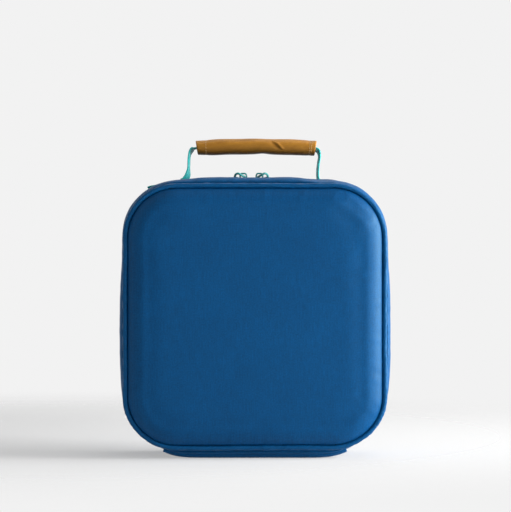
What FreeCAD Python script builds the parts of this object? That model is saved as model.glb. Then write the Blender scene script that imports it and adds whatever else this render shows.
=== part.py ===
import FreeCAD, Part
import math
import os

Vector = FreeCAD.Vector

# A soft zip-round lunch bag. +Z is up, the front panel faces -Y, and the origin is under the middle of the
# bottom. All sizes are in millimetres.

# Driving dimensions of the shell, measured on the gusset between the two piped seams
SHELL_WIDTH = 243.0
SHELL_HEIGHT = 246.0
SHELL_CORNER = 58.0
SEAM_SPACING = 81.0
EDGE_ROUND = 9.0

# Driving dimensions of the padded front and back panels
PANEL_THICKNESS = 7.0
PANEL_CORNER = 44.0
PANEL_ROUND = 6.0
SEAM_ALLOWANCE = 5.0

# Fabric, foam and lining
COVER = 1.0
FOAM = 5.0
LINING = 0.5
LAYER_GAP = 0.05
BOTTOM_PANEL = 2.2
BOTTOM_PANEL_WIDTH = 164.0
BOTTOM_PANEL_EDGE_Y = 36.0
BINDING_WIDTH = 3.0
PIPING_RADIUS = 2.2
PIPING_OUT = 3.6
PIPING_FORWARD = 1.65

# Zipper round the gusset, closer to the front than to the back
ZIPPER_Y = -10.0
ZIPPER_BAND = 16.0
TAPE_TUCK = 6.0
TAPE = 0.6
COIL_WIDTH = 1.7
COIL_HEIGHT = 2.0
COIL_SINK = 0.35
COIL_GAP = 1.0
HINGE_LENGTH = 120.0
HINGE_STRIP = 0.6
HINGE_CLEAR = 1.0

# Zipper sliders at the top, with their noses nearly touching
SLIDER_X = {"left": -10.5, "right": 4.0}
SLIDER_LENGTH = 12.0
SLIDER_WIDTH = 9.0
SLIDER_PLATE = 1.2
SLIDER_CORNER = 2.6
SLIDER_LIFT = 0.2
POST_LENGTH = 3.0
POST_WIDTH = 0.8
BRIDGE_LENGTH = 8.0
BRIDGE_BAR = 1.6
BRIDGE_EYE = 3.0
BRIDGE_CORNER = 1.6
BRIDGE_EDGE = 0.5

# Pull cord: its route from the eye, over the bar, back along the gusset, round the finger loop and into the
# eye again, as X, Y and Z from the middle of the slider's bar
CORD_DIAMETER = 2.0
CORD_ROUTE = [
    (0.0, 1.8, -2.3),
    (0.1, -2.6, -2.3),
    (0.4, -2.6, 2.3),
    (0.9, 1.6, 2.4),
    (1.9, 5.0, 0.4),
    (2.8, 9.5, -3.6),
    (3.4, 15.0, -4.0),
    (2.2, 20.5, -4.0),
    (-2.0, 21.0, -4.0),
    (-3.4, 15.5, -4.0),
    (-2.6, 9.8, -3.9),
    (-1.0, 5.6, -2.6),
    (0.0, 2.0, -2.3),
]
ARC_SHARE = 0.45

# Carry handle over the body half of the gusset
STRAP_WIDTH = 19.0
STRAP = 1.6
STRAP_Y = 14.5
LEG_SPACING = 121.0
HANDLE_BEND = 9.0
HANDLE_STRAP_TOP = 280.2
SEWN_END_REACH = 96.0
SEWN_END_GAP = 1.5
LEG_CLEARANCE = 1.5
GRIP_LENGTH = 108.0
GRIP_HEIGHT = 13.0
GRIP_DEPTH = 23.0
GRIP_SLEEVE = 1.2
PADDING_LENGTH = 101.0

# Worked-out places
HALF_WIDTH = SHELL_WIDTH / 2
HALF_HEIGHT = SHELL_HEIGHT / 2
CENTRE_Z = BOTTOM_PANEL + HALF_HEIGHT
TOP_Z = CENTRE_Z + HALF_HEIGHT
SEAM_Y = SEAM_SPACING / 2
PANEL_HALF_WIDTH = HALF_WIDTH - EDGE_ROUND
PANEL_HALF_HEIGHT = HALF_HEIGHT - EDGE_ROUND
PANEL_BACK = SEAM_Y + LAYER_GAP
PANEL_FRONT = SEAM_Y + PANEL_THICKNESS
FOAM_INSET = COVER + LAYER_GAP
LINING_INSET = COVER + FOAM + LAYER_GAP
WALL = LINING_INSET + LINING
LID_EDGE = ZIPPER_Y - ZIPPER_BAND / 2
BODY_EDGE = ZIPPER_Y + ZIPPER_BAND / 2
FAR = 400.0


def rounded_wire(half_width, half_height, corner, y):
    """A rounded rectangle about the shell's centre line, in the plane at y."""
    x = half_width - corner
    z = half_height - corner
    slant = corner * math.sqrt(0.5)

    def at(across, up):
        return Vector(across, y, CENTRE_Z + up)

    edges = [
        Part.LineSegment(at(-x, -half_height), at(x, -half_height)),
        Part.Arc(at(x, -half_height), at(x + slant, -z - slant), at(half_width, -z)),
        Part.LineSegment(at(half_width, -z), at(half_width, z)),
        Part.Arc(at(half_width, z), at(x + slant, z + slant), at(x, half_height)),
        Part.LineSegment(at(x, half_height), at(-x, half_height)),
        Part.Arc(at(-x, half_height), at(-x - slant, z + slant), at(-half_width, z)),
        Part.LineSegment(at(-half_width, z), at(-half_width, -z)),
        Part.Arc(at(-half_width, -z), at(-x - slant, -z - slant), at(-x, -half_height)),
    ]
    return Part.Wire([edge.toShape() for edge in edges])


def rounded_slab(half_width, half_height, corner, y_low, y_high):
    """A rounded rectangle carried along Y from y_low to y_high."""
    face = Part.Face(rounded_wire(half_width, half_height, corner, y_low))
    return face.extrude(Vector(0, y_high - y_low, 0))


def rim_edges(solid, y):
    """The edges of a slab that lie in the plane at y."""
    return [e for e in solid.Edges if abs(e.BoundBox.YMin - y) < 1e-4 and abs(e.BoundBox.YMax - y) < 1e-4]


def span(x_low, x_high, y_low, y_high, z_low, z_high):
    """A box between two corners."""
    return Part.makeBox(x_high - x_low, y_high - y_low, z_high - z_low, Vector(x_low, y_low, z_low))


def between(shape, y_low, y_high):
    """The stretch of a shape between two depths."""
    return shape.common(span(-FAR, FAR, y_low, y_high, -FAR, FAR))


def shell_block(inset):
    """The gusset's outer form, filled, and drawn in by inset on every side."""
    y = SEAM_Y - inset
    slab = rounded_slab(HALF_WIDTH - inset, HALF_HEIGHT - inset, SHELL_CORNER - inset, -y, y)
    return slab.makeFillet(EDGE_ROUND - inset, rim_edges(slab, -y) + rim_edges(slab, y))


def shell_layer(outer_inset, inner_inset):
    """The wall between two insets of the gusset's form."""
    return shell_block(outer_inset).cut(shell_block(inner_inset))


def panel_slab(inset, y_low, y_high):
    """A slab of the panels' outline, drawn in by inset."""
    return rounded_slab(
        PANEL_HALF_WIDTH - inset, PANEL_HALF_HEIGHT - inset, PANEL_CORNER - inset, y_low, y_high
    )


def panel_block(inset, back):
    """A front panel's pillow form, drawn in by inset, with its flat back at depth back."""
    front = -PANEL_FRONT + inset
    slab = panel_slab(inset, front, -back)
    return slab.makeFillet(PANEL_ROUND - inset, rim_edges(slab, front))


def facing_back(shape):
    """A front piece turned into the back piece that matches it."""
    return shape.mirror(Vector(0, 0, 0), Vector(0, 1, 0))


def panel_pieces():
    """Cover, foam and lining of the padded front panel."""
    lining_front = PANEL_BACK + LINING + LAYER_GAP
    cover = panel_block(0, PANEL_BACK).cut(panel_block(COVER, 0))
    foam = panel_block(FOAM_INSET, lining_front + LAYER_GAP)
    lining = panel_slab(FOAM_INSET, -lining_front, -PANEL_BACK)
    return {"cover": cover, "foam": foam, "lining": lining}


def piping():
    """Covered cord in the seam in front of the gusset."""
    y = -SEAM_Y - PIPING_FORWARD
    path = rounded_wire(
        PANEL_HALF_WIDTH + PIPING_OUT, PANEL_HALF_HEIGHT + PIPING_OUT, PANEL_CORNER + PIPING_OUT, y
    )
    start = Vector(0, y, CENTRE_Z - PANEL_HALF_HEIGHT - PIPING_OUT)
    section = Part.Wire(Part.makeCircle(PIPING_RADIUS, start, Vector(1, 0, 0)))
    return path.makePipeShell([section], True, False)


def seam_binding():
    """Tape bound over the raw edges inside the front seam."""
    outer = panel_slab(SEAM_ALLOWANCE + LAYER_GAP, -SEAM_Y + LAYER_GAP, -SEAM_Y + WALL)
    inner = panel_slab(SEAM_ALLOWANCE + BINDING_WIDTH, -SEAM_Y, -SEAM_Y + WALL + COVER)
    return outer.cut(inner)


def gusset_pieces():
    """Cover, foam and lining of the lid's and the body's gusset."""
    opening = panel_slab(SEAM_ALLOWANCE, -FAR, FAR)
    cover = shell_layer(0, COVER).cut(opening)
    foam = shell_layer(FOAM_INSET, COVER + FOAM).cut(opening)
    lining = shell_layer(LINING_INSET, WALL).cut(opening)
    turned_edge = shell_layer(FOAM_INSET + TAPE + LAYER_GAP, WALL).cut(opening)
    pieces = {}
    for half, edge, inward in (("lid", LID_EDGE, -1), ("body", BODY_EDGE, 1)):
        tape_end = edge + inward * TAPE_TUCK
        lining_end = tape_end + inward * LAYER_GAP
        turn_end = lining_end + inward * LINING
        foam_end = turn_end + inward * LAYER_GAP
        far = inward * FAR
        pieces[half + "_gusset_cover"] = between(cover, min(edge, far), max(edge, far))
        pieces[half + "_gusset_foam"] = between(foam, min(foam_end, far), max(foam_end, far))
        sheet = between(lining, min(lining_end, far), max(lining_end, far))
        turn = between(turned_edge, min(lining_end, turn_end), max(lining_end, turn_end))
        pieces[half + "_gusset_lining"] = sheet.fuse(turn).removeSplitter()
    return pieces


def zipper_pieces():
    """Tape and coil of each half, open at the bottom where the hinge strip is."""
    half_gap = HINGE_LENGTH / 2 + HINGE_CLEAR
    hinge_gap = span(-half_gap, half_gap, -FAR, FAR, -FAR, CENTRE_Z)
    tape = shell_layer(FOAM_INSET, FOAM_INSET + TAPE).cut(hinge_gap)
    coil = shell_layer(COIL_SINK, COIL_SINK + COIL_HEIGHT).cut(hinge_gap)
    pieces = {}
    for half, edge, inward in (("lid", LID_EDGE, -1), ("body", BODY_EDGE, 1)):
        tape_end = edge + inward * TAPE_TUCK
        coil_inner = ZIPPER_Y + inward * COIL_GAP / 2
        coil_outer = coil_inner + inward * COIL_WIDTH
        tape_start = coil_outer + inward * LAYER_GAP
        tape_ends = sorted((tape_start, tape_end))
        coil_ends = sorted((coil_inner, coil_outer))
        pieces[half + "_zipper_tape"] = between(tape, *tape_ends)
        pieces[half + "_zipper_coil"] = between(coil, *coil_ends)
    return pieces


def bottom_pieces():
    """The separate bottom panel on each half, and the fabric hinge strip between them."""
    layer = shell_layer(-BOTTOM_PANEL, -LAYER_GAP)
    half_width = BOTTOM_PANEL_WIDTH / 2
    lid = layer.common(span(-half_width, half_width, -BOTTOM_PANEL_EDGE_Y, LID_EDGE, -FAR, CENTRE_Z))
    body = layer.common(span(-half_width, half_width, BODY_EDGE, BOTTOM_PANEL_EDGE_Y, -FAR, CENTRE_Z))
    half_hinge = HINGE_LENGTH / 2
    strip = span(-half_hinge, half_hinge, LID_EDGE + LAYER_GAP, BODY_EDGE - LAYER_GAP, 0, HINGE_STRIP)
    return {"lid_bottom_panel": lid, "body_bottom_panel": body, "hinge_strip": strip}


def bar_centre(side):
    """The middle of a slider's bar, which its pull cord goes round."""
    plate_top = TOP_Z + SLIDER_LIFT + SLIDER_PLATE
    return Vector(SLIDER_X[side], ZIPPER_Y, plate_top + BRIDGE_EYE + BRIDGE_BAR / 2)


def slider_plate(x, z_low):
    """One flat plate of a slider with rounded corners."""
    plate = span(
        x - SLIDER_LENGTH / 2, x + SLIDER_LENGTH / 2,
        ZIPPER_Y - SLIDER_WIDTH / 2, ZIPPER_Y + SLIDER_WIDTH / 2,
        z_low, z_low + SLIDER_PLATE,
    )
    upright = [e for e in plate.Edges if e.BoundBox.ZLength > SLIDER_PLATE / 2]
    return plate.makeFillet(SLIDER_CORNER, upright)


def slider_casting(side):
    """Two plates held apart by a thin post, with a bridge on top that makes the eye for the pull."""
    x = SLIDER_X[side]
    top_low = TOP_Z + SLIDER_LIFT
    plate_top = top_low + SLIDER_PLATE
    bottom_high = TOP_Z - COIL_SINK - COIL_HEIGHT - SLIDER_LIFT
    post = span(
        x - POST_LENGTH / 2, x + POST_LENGTH / 2,
        ZIPPER_Y - POST_WIDTH / 2, ZIPPER_Y + POST_WIDTH / 2,
        bottom_high, top_low,
    )
    half_bar = BRIDGE_BAR / 2
    half_bridge = BRIDGE_LENGTH / 2
    bridge_top = plate_top + BRIDGE_EYE + BRIDGE_BAR
    arch = span(
        x - half_bridge, x + half_bridge,
        ZIPPER_Y - half_bar, ZIPPER_Y + half_bar,
        plate_top, bridge_top,
    )
    top_corners = [
        e for e in arch.Edges
        if e.BoundBox.YLength > half_bar and e.BoundBox.ZMin > bridge_top - half_bar
    ]
    arch = arch.makeFillet(BRIDGE_CORNER, top_corners)
    eye = span(
        x - half_bridge + BRIDGE_BAR, x + half_bridge - BRIDGE_BAR,
        ZIPPER_Y - BRIDGE_BAR, ZIPPER_Y + BRIDGE_BAR,
        plate_top, bridge_top - BRIDGE_BAR,
    )
    bridge = arch.cut(eye)
    bar_edges = [
        e for e in bridge.Edges
        if e.BoundBox.XLength > half_bridge / 2 and e.BoundBox.YLength < half_bar
        and e.BoundBox.ZMin > bridge_top - BRIDGE_BAR - BRIDGE_EDGE
    ]
    bridge = bridge.makeFillet(BRIDGE_EDGE, bar_edges)
    top = slider_plate(x, top_low)
    bottom = slider_plate(x, bottom_high - SLIDER_PLATE)
    return top.multiFuse([post, bottom, bridge]).removeSplitter()


def route_wire(points):
    """Straight runs joined by tangent arcs, each arc as large as its two runs allow, and the arcs' radii."""
    edges = []
    radii = []
    start = points[0]
    for before, corner, after in zip(points, points[1:], points[2:]):
        back = before - corner
        ahead = after - corner
        half_turn = (math.pi - back.getAngle(ahead)) / 2
        setback = ARC_SHARE * min(back.Length, ahead.Length)
        radius = setback / math.tan(half_turn)
        back.normalize()
        ahead.normalize()
        enter = corner + back * setback
        leave = corner + ahead * setback
        inward = back + ahead
        inward.normalize()
        middle = corner + inward * (radius / math.cos(half_turn) - radius)
        edges.append(Part.LineSegment(start, enter).toShape())
        edges.append(Part.Arc(enter, middle, leave).toShape())
        radii.append(radius)
        start = leave
    edges.append(Part.LineSegment(start, points[-1]).toShape())
    return Part.Wire(edges), radii


def pull_cord(side):
    """The cord loop that hangs on a slider's bar."""
    bar = bar_centre(side)
    turned = -1 if side == "left" else 1
    points = [bar + Vector(turned * x, y, z) for x, y, z in CORD_ROUTE]
    path, radii = route_wire(points)
    section = Part.Wire(Part.makeCircle(CORD_DIAMETER / 2, points[0], points[1] - points[0]))
    cord = path.makePipeShell([section], True, False)
    expected = math.pi * CORD_DIAMETER ** 2 / 4 * path.Length
    print(side, "pull cord: length", round(path.Length, 1), "volume share", round(cord.Volume / expected, 3),
          "smallest radius", round(min(radii), 2))
    return cord


def handle_pieces():
    """The webbing loop with round-ended legs, the padding in the grip and the sleeve round it."""
    leg = LEG_SPACING / 2
    half_strap = STRAP / 2
    leg_bottom = TOP_Z + LEG_CLEARANCE
    pivot_z = leg_bottom + STRAP_WIDTH / 2
    y_low = STRAP_Y - STRAP_WIDTH / 2
    y_high = STRAP_Y + STRAP_WIDTH / 2
    reach = HANDLE_STRAP_TOP - CENTRE_Z
    outer = rounded_slab(leg + half_strap, reach, HANDLE_BEND + half_strap, y_low, y_high)
    inner = rounded_slab(leg - half_strap, reach - STRAP, HANDLE_BEND - half_strap, y_low, y_high)
    loop = outer.cut(inner)
    round_end = Part.makeCylinder(STRAP_WIDTH / 2, 2 * FAR, Vector(-FAR, STRAP_Y, pivot_z), Vector(1, 0, 0))
    webbing = loop.common(span(-FAR, FAR, y_low, y_high, pivot_z, FAR).fuse(round_end))

    grip_z = HANDLE_STRAP_TOP - half_strap

    def oval(drawn_in, length):
        ellipse = Part.Ellipse(
            Vector(-length / 2, STRAP_Y, grip_z), GRIP_DEPTH / 2 - drawn_in, GRIP_HEIGHT / 2 - drawn_in
        )
        wire = Part.Wire(ellipse.toShape())
        wire.rotate(Vector(-length / 2, STRAP_Y, grip_z), Vector(0, 0, 1), 90)
        wire.rotate(Vector(-length / 2, STRAP_Y, grip_z), Vector(0, 1, 0), 90)
        return Part.Face(wire).extrude(Vector(length, 0, 0))

    sleeve = oval(0, GRIP_LENGTH).cut(oval(GRIP_SLEEVE, 2 * GRIP_LENGTH))
    slot = span(-FAR, FAR, -FAR, FAR, grip_z - half_strap - LAYER_GAP, grip_z + half_strap + LAYER_GAP)
    padding = oval(GRIP_SLEEVE + LAYER_GAP, PADDING_LENGTH).cut(slot)
    return {"handle_webbing": webbing, "handle_grip": sleeve, "grip_padding": padding}


def strap_ends():
    """The two ends of the handle's webbing, sewn flat over the top corners of the gusset."""
    layer = shell_layer(-STRAP - LAYER_GAP, -LAYER_GAP)
    y_low = STRAP_Y - STRAP_WIDTH / 2
    y_high = STRAP_Y + STRAP_WIDTH / 2
    inner = LEG_SPACING / 2 + SEWN_END_GAP
    left = layer.common(span(-SEWN_END_REACH, -inner, y_low, y_high, CENTRE_Z, FAR))
    right = layer.common(span(inner, SEWN_END_REACH, y_low, y_high, CENTRE_Z, FAR))
    return {"left_strap_end": left, "right_strap_end": right}


def all_pieces():
    pieces = {}
    for layer, shape in panel_pieces().items():
        pieces["front_panel_" + layer] = shape
        pieces["back_panel_" + layer] = facing_back(shape)
    pieces["front_piping"] = piping()
    pieces["back_piping"] = facing_back(piping())
    pieces["lid_seam_binding"] = seam_binding()
    pieces["body_seam_binding"] = facing_back(seam_binding())
    pieces.update(gusset_pieces())
    pieces.update(zipper_pieces())
    pieces.update(bottom_pieces())
    for side in SLIDER_X:
        pieces[side + "_slider_casting"] = slider_casting(side)
        pieces[side + "_pull_cord"] = pull_cord(side)
    pieces.update(handle_pieces())
    pieces.update(strap_ends())
    return pieces


os.makedirs("parts", exist_ok=True)
for name, shape in all_pieces().items():
    solids = shape.Solids
    piece = solids[0] if len(solids) == 1 else Part.makeCompound(solids)
    box = piece.BoundBox
    print(name, len(solids), piece.isValid(), round(piece.Volume, 1),
          [round(v, 2) for v in (box.XMin, box.XMax, box.YMin, box.YMax, box.ZMin, box.ZMax)])
    piece.exportStep("parts/" + name + ".step")
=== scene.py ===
import math

import bmesh
import bpy
import numpy as np
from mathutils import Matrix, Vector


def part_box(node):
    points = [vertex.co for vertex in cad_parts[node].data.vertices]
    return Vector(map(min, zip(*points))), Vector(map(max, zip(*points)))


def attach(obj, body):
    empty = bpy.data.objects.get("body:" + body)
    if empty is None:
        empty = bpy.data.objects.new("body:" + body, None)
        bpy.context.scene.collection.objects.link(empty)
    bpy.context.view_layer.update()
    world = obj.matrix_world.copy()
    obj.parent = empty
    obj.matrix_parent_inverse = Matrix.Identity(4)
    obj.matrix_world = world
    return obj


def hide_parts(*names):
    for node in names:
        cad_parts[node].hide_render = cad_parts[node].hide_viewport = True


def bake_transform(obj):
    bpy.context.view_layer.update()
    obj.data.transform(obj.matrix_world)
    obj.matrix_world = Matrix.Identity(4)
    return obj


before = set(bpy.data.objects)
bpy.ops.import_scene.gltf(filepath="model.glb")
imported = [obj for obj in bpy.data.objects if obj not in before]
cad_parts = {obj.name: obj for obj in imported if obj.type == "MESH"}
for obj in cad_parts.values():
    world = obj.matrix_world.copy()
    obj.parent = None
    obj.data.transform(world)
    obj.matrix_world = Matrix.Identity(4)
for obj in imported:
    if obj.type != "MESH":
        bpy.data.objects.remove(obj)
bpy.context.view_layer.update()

# Lengths are in metres, in the frame's own axes: +Z up, the front panel faces -Y.
MM = 0.001
TAU = 2 * math.pi
TINY = 1e-12
BACKWARDS = np.array([0.0, 1.0, 0.0])

# The shell's form, read from the frame, and the two corner radii that shape it
shell_low, shell_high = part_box("body_gusset_cover")
lid_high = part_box("lid_gusset_cover")[1]
panel_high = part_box("front_panel_cover")[1]
HALF_WIDTH = shell_high.x
HALF_HEIGHT = (shell_high.z - shell_low.z) / 2
CENTRE_Z = (shell_high.z + shell_low.z) / 2
TOP_Z = shell_high.z
SEAM_Y = shell_high.y
EDGE_ROUND = HALF_WIDTH - panel_high.x
PANEL_HALF_WIDTH = panel_high.x
PANEL_HALF_HEIGHT = HALF_HEIGHT - EDGE_ROUND
SHELL_CORNER = 58 * MM
PANEL_CORNER = 44 * MM
LID_EDGE = lid_high.y
BODY_EDGE = shell_low.y
ZIPPER_Y = (LID_EDGE + BODY_EDGE) / 2
BOTTOM_PANEL = shell_low.z
strap_low, strap_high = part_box("handle_webbing")
STRAP_Y = (strap_low.y + strap_high.y) / 2

# The photograph's camera: its distance from the seam plane, its height, and the size of a pixel there
PHOTO_WIDTH = 511
PHOTO_HEIGHT = 512
PIXEL = 0.885 * MM
CAMERA_DISTANCE = 2.0
CAMERA_RISE = 1 * MM
FLOOR_PIXEL_Y = 457.5
CENTRE_PIXEL_X = 255.0


class Shape:
    """Points, the faces on them as one run of point numbers with each face's size, and a pair of cloth
    coordinates for every number in the run."""

    def __init__(self, points, order, sizes, cloth):
        self.points = np.asarray(points, float).reshape(-1, 3)
        self.order = order
        self.sizes = sizes
        self.cloth = cloth


def patch(points, along, across, loop_along=False, loop_across=False):
    """A grid of points as quads. Rows run across and columns run along; a loop joins its last to its first.
    along and across give the cloth's length at each column and row, and one more on a loop."""
    rows, columns = points.shape[:2]
    row = np.arange(rows if loop_across else rows - 1)
    column = np.arange(columns if loop_along else columns - 1)
    row, column = (grid.ravel() for grid in np.meshgrid(row, column, indexing="ij"))
    corner_row = np.stack([row, row, row + 1, row + 1], 1).ravel()
    corner_column = np.stack([column, column + 1, column + 1, column], 1).ravel()
    order = (corner_row % rows) * columns + corner_column % columns
    cloth = np.stack([np.asarray(along)[corner_column], np.asarray(across)[corner_row]], 1)
    return Shape(points, order, np.full(len(row), 4), cloth)


def flipped(shape):
    """The same shape with every face turned over: each face's run of numbers is read backwards."""
    start = np.cumsum(shape.sizes) - shape.sizes
    backwards = np.repeat(2 * start + shape.sizes - 1, shape.sizes) - np.arange(len(shape.order))
    return Shape(shape.points, shape.order[backwards], shape.sizes, shape.cloth[backwards])


def combined(shapes):
    """Several shapes as one, each still closed in itself."""
    start = np.cumsum([0] + [len(shape.points) for shape in shapes])
    return Shape(
        np.concatenate([shape.points for shape in shapes]),
        np.concatenate([shape.order + first for shape, first in zip(shapes, start)]),
        np.concatenate([shape.sizes for shape in shapes]),
        np.concatenate([shape.cloth for shape in shapes]),
    )


def repeated(shape, copies):
    """One shape many times over, with the points of each copy."""
    start = np.arange(len(copies))[:, None] * len(shape.points)
    order = (shape.order + start).ravel()
    return Shape(copies, order, np.tile(shape.sizes, len(copies)), np.tile(shape.cloth, (len(copies), 1)))


def tube(points, along, around):
    """A grid of points as a tube: its rows are joined into a loop and each end is closed by a flat face."""
    rows, columns = points.shape[:2]
    wall = patch(points, along, around, loop_across=True)
    first = np.arange(rows) * columns
    order = np.concatenate([wall.order, first, first[::-1] + columns - 1])
    cloth = np.concatenate([wall.cloth, np.zeros((2 * rows, 2))])
    return Shape(points, order, np.append(wall.sizes, [rows, rows]), cloth)


def steps_length(points):
    """Length along a line of points, from 0 at the first."""
    step = np.linalg.norm(np.diff(points, axis=0), axis=1)
    return np.concatenate([[0.0], np.cumsum(step)])


def loop_length(points):
    """Length along a closed line of points, back to the first."""
    return steps_length(np.vstack([points, points[:1]]))


def unit(vectors):
    """Vectors cut to length 1."""
    return vectors / np.maximum(np.linalg.norm(vectors, axis=-1, keepdims=True), TINY)


def smooth(value, low, high):
    """0 below low, 1 above high, and an S-curve between them."""
    share = np.clip((value - low) / (high - low), 0, 1)
    return share * share * (3 - 2 * share)


def waves(turn, terms):
    """A sum of sine waves round a loop: each term is a height, a count of waves and a phase in turns."""
    return sum(height * np.sin(TAU * (count * turn + phase)) for height, count, phase in terms)


# Rounded outline of the shell: knots at the ends of its straights and corners, from the bottom middle
# to the right
KNOT_X = np.array([0, 1, 1, 1, 1, -1, -1, -1, -1, 0])
KNOT_Z = np.array([-1, -1, -1, 1, 1, 1, 1, -1, -1, -1])
KNOT_TURN = np.array([-1, -1, 0, 0, 1, 1, 2, 2, 3, 3]) * TAU / 4
FLAT_X = HALF_WIDTH - SHELL_CORNER
FLAT_Z = HALF_HEIGHT - SHELL_CORNER
QUARTER = SHELL_CORNER * TAU / 4
knot_steps = [FLAT_X, QUARTER, 2 * FLAT_Z, QUARTER, 2 * FLAT_X, QUARTER, 2 * FLAT_Z, QUARTER, FLAT_X]
KNOT = np.concatenate([[0], np.cumsum(knot_steps)])
ROUND = KNOT[-1]
KNOT = KNOT / ROUND

# The soft gusset is pulled in at the bottom corners and where the sides meet the top corners: the middle
# of each pull, how deep it is, and how far it reaches before and after its middle
SIDE_DRAW = 1.2 * MM
LEVEL_FADE = 20 * MM
SIDE_PULL = [
    ((KNOT[1] + KNOT[2]) / 2, 4.2 * MM, 60 * MM, 82 * MM),
    (KNOT[3], 2.2 * MM, 48 * MM, 36 * MM),
    (KNOT[4], 1.6 * MM, 40 * MM, 34 * MM),
    (KNOT[5], 0.8 * MM, 34 * MM, 30 * MM),
    (KNOT[6], 2.2 * MM, 36 * MM, 48 * MM),
    ((KNOT[7] + KNOT[8]) / 2, 4.2 * MM, 82 * MM, 60 * MM),
]


def pulled_in(turn):
    """How far the gusset is pulled in at a turn: a little along both sides, and in smooth humps."""
    total = SIDE_DRAW * np.abs(np.cos(np.interp(np.mod(turn, 1.0), KNOT, KNOT_TURN))) ** 4
    for middle, deep, before, after in SIDE_PULL:
        away = (np.mod(turn - middle + 0.5, 1.0) - 0.5) * ROUND
        reach = np.where(away < 0, before, after)
        total = total + deep * np.cos(np.clip(away / reach, -1, 1) * TAU / 4) ** 2
    return total


def zipper_level(turn):
    """How far the zipper is held out of the pull at a turn: all of it on the straight top, where the
    sliders run, and none a little way into the corners."""
    from_middle = np.abs(np.mod(turn, 1.0) - 0.5) * ROUND
    return pulled_in(turn) * (1 - smooth(from_middle, FLAT_X, FLAT_X + LEVEL_FADE))


def outline(turn, inset, push=0.0, hug=1.0):
    """X and Z round the shell, drawn in by inset and pushed out by push. turn runs from 0 to 1 from the
    bottom middle, up the right side, in equal lengths of the shell's edge. hug is 1 for what follows the
    gusset's outer face, which is pulled in at its corners, and 0 for what follows the panels' seam."""
    turn = np.mod(turn, 1.0)
    corner = PANEL_CORNER + EDGE_ROUND - inset + hug * (SHELL_CORNER - PANEL_CORNER - EDGE_ROUND)
    angle = np.interp(turn, KNOT, KNOT_TURN)
    reach = corner + push - hug * pulled_in(turn)
    x = np.interp(turn, KNOT, KNOT_X) * (HALF_WIDTH - inset - corner) + reach * np.cos(angle)
    z = np.interp(turn, KNOT, KNOT_Z) * (HALF_HEIGHT - inset - corner) + reach * np.sin(angle)
    return x, CENTRE_Z + z


def carried(turn, inset, depth, push=0.0, hug=1.0):
    """A profile carried round the outline: a row for every inset and depth, and a column for every turn."""
    inset, depth, turn = np.broadcast_arrays(inset, depth, turn)
    x, z = outline(turn, inset, push, hug)
    return np.stack([x, depth, z], -1)


def outward(turn):
    """The direction that faces out of the shell at a turn."""
    angle = np.interp(np.mod(turn, 1.0), KNOT, KNOT_TURN)
    return np.stack([np.cos(angle), np.zeros_like(angle), np.sin(angle)], -1)


def grid_normals(points):
    """Normals of a grid of points that loops along, from the steps along it and across it."""
    along = np.roll(points, -1, axis=1) - np.roll(points, 1, axis=1)
    return unit(np.cross(along, np.gradient(points, axis=0)))


def ring_turns(count):
    """Equal turns round a whole loop, as one row."""
    return np.arange(count)[None] / count


def ring_lengths(count):
    """Length round the shell at each of those turns, and at the loop's end."""
    return np.arange(count + 1) / count * ROUND


def swept(path, side, section):
    """A section carried along a path: each of its points is a step along side and one along the normal."""
    tangent = unit(np.gradient(path, axis=0))
    lift = unit(np.cross(side, tangent))
    points = path[None] + section[:, 0, None, None] * side[None] + section[:, 1, None, None] * lift[None]
    return tube(points, steps_length(path), loop_length(section))


def rounded_section(half_width, half_height, power, count):
    """A closed section between an ellipse (power 2) and a rectangle (high power)."""
    angle = np.arange(count) / count * TAU
    across = np.sign(np.cos(angle)) * np.abs(np.cos(angle)) ** (2 / power) * half_width
    up = np.sign(np.sin(angle)) * np.abs(np.sin(angle)) ** (2 / power) * half_height
    return np.stack([across, up], 1)


def through(points, count):
    """A smooth line through points, in equal steps: cubic spans with slopes from the points beside them."""
    points = np.asarray(points, float)
    knot = steps_length(points)
    slope = np.gradient(points, knot, axis=0)
    place = np.linspace(0, knot[-1], count * 4)
    span = np.clip(np.searchsorted(knot, place, "right") - 1, 0, len(knot) - 2)
    width = (knot[span + 1] - knot[span])[:, None]
    s = (place - knot[span])[:, None] / width
    line = (
        (1 + 2 * s) * (1 - s) ** 2 * points[span]
        + s * (1 - s) ** 2 * width * slope[span]
        + s * s * (3 - 2 * s) * points[span + 1]
        + s * s * (s - 1) * width * slope[span + 1]
    )
    length = steps_length(line)
    even = np.linspace(0, length[-1], count)
    return np.stack([np.interp(even, length, line[:, axis]) for axis in range(line.shape[1])], 1)


STITCH_RINGS = np.array([-1.0, -0.8, -0.3, 0.3, 0.8, 1.0])
STITCH_SIDES = 6
STITCH_TIP = 0.12
STITCH_LIFT = 0.9
STITCH_DIVE = 1.6

# Length, gap and radius of the stitches on the gusset, the sewn ends and the grip
GUSSET_STITCH = (2.6 * MM, 0.7 * MM, 0.28 * MM)
BOX_STITCH = (2.0 * MM, 0.6 * MM, 0.26 * MM)
WRAP_STITCH = (2.0 * MM, 0.6 * MM, 0.2 * MM)


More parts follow.
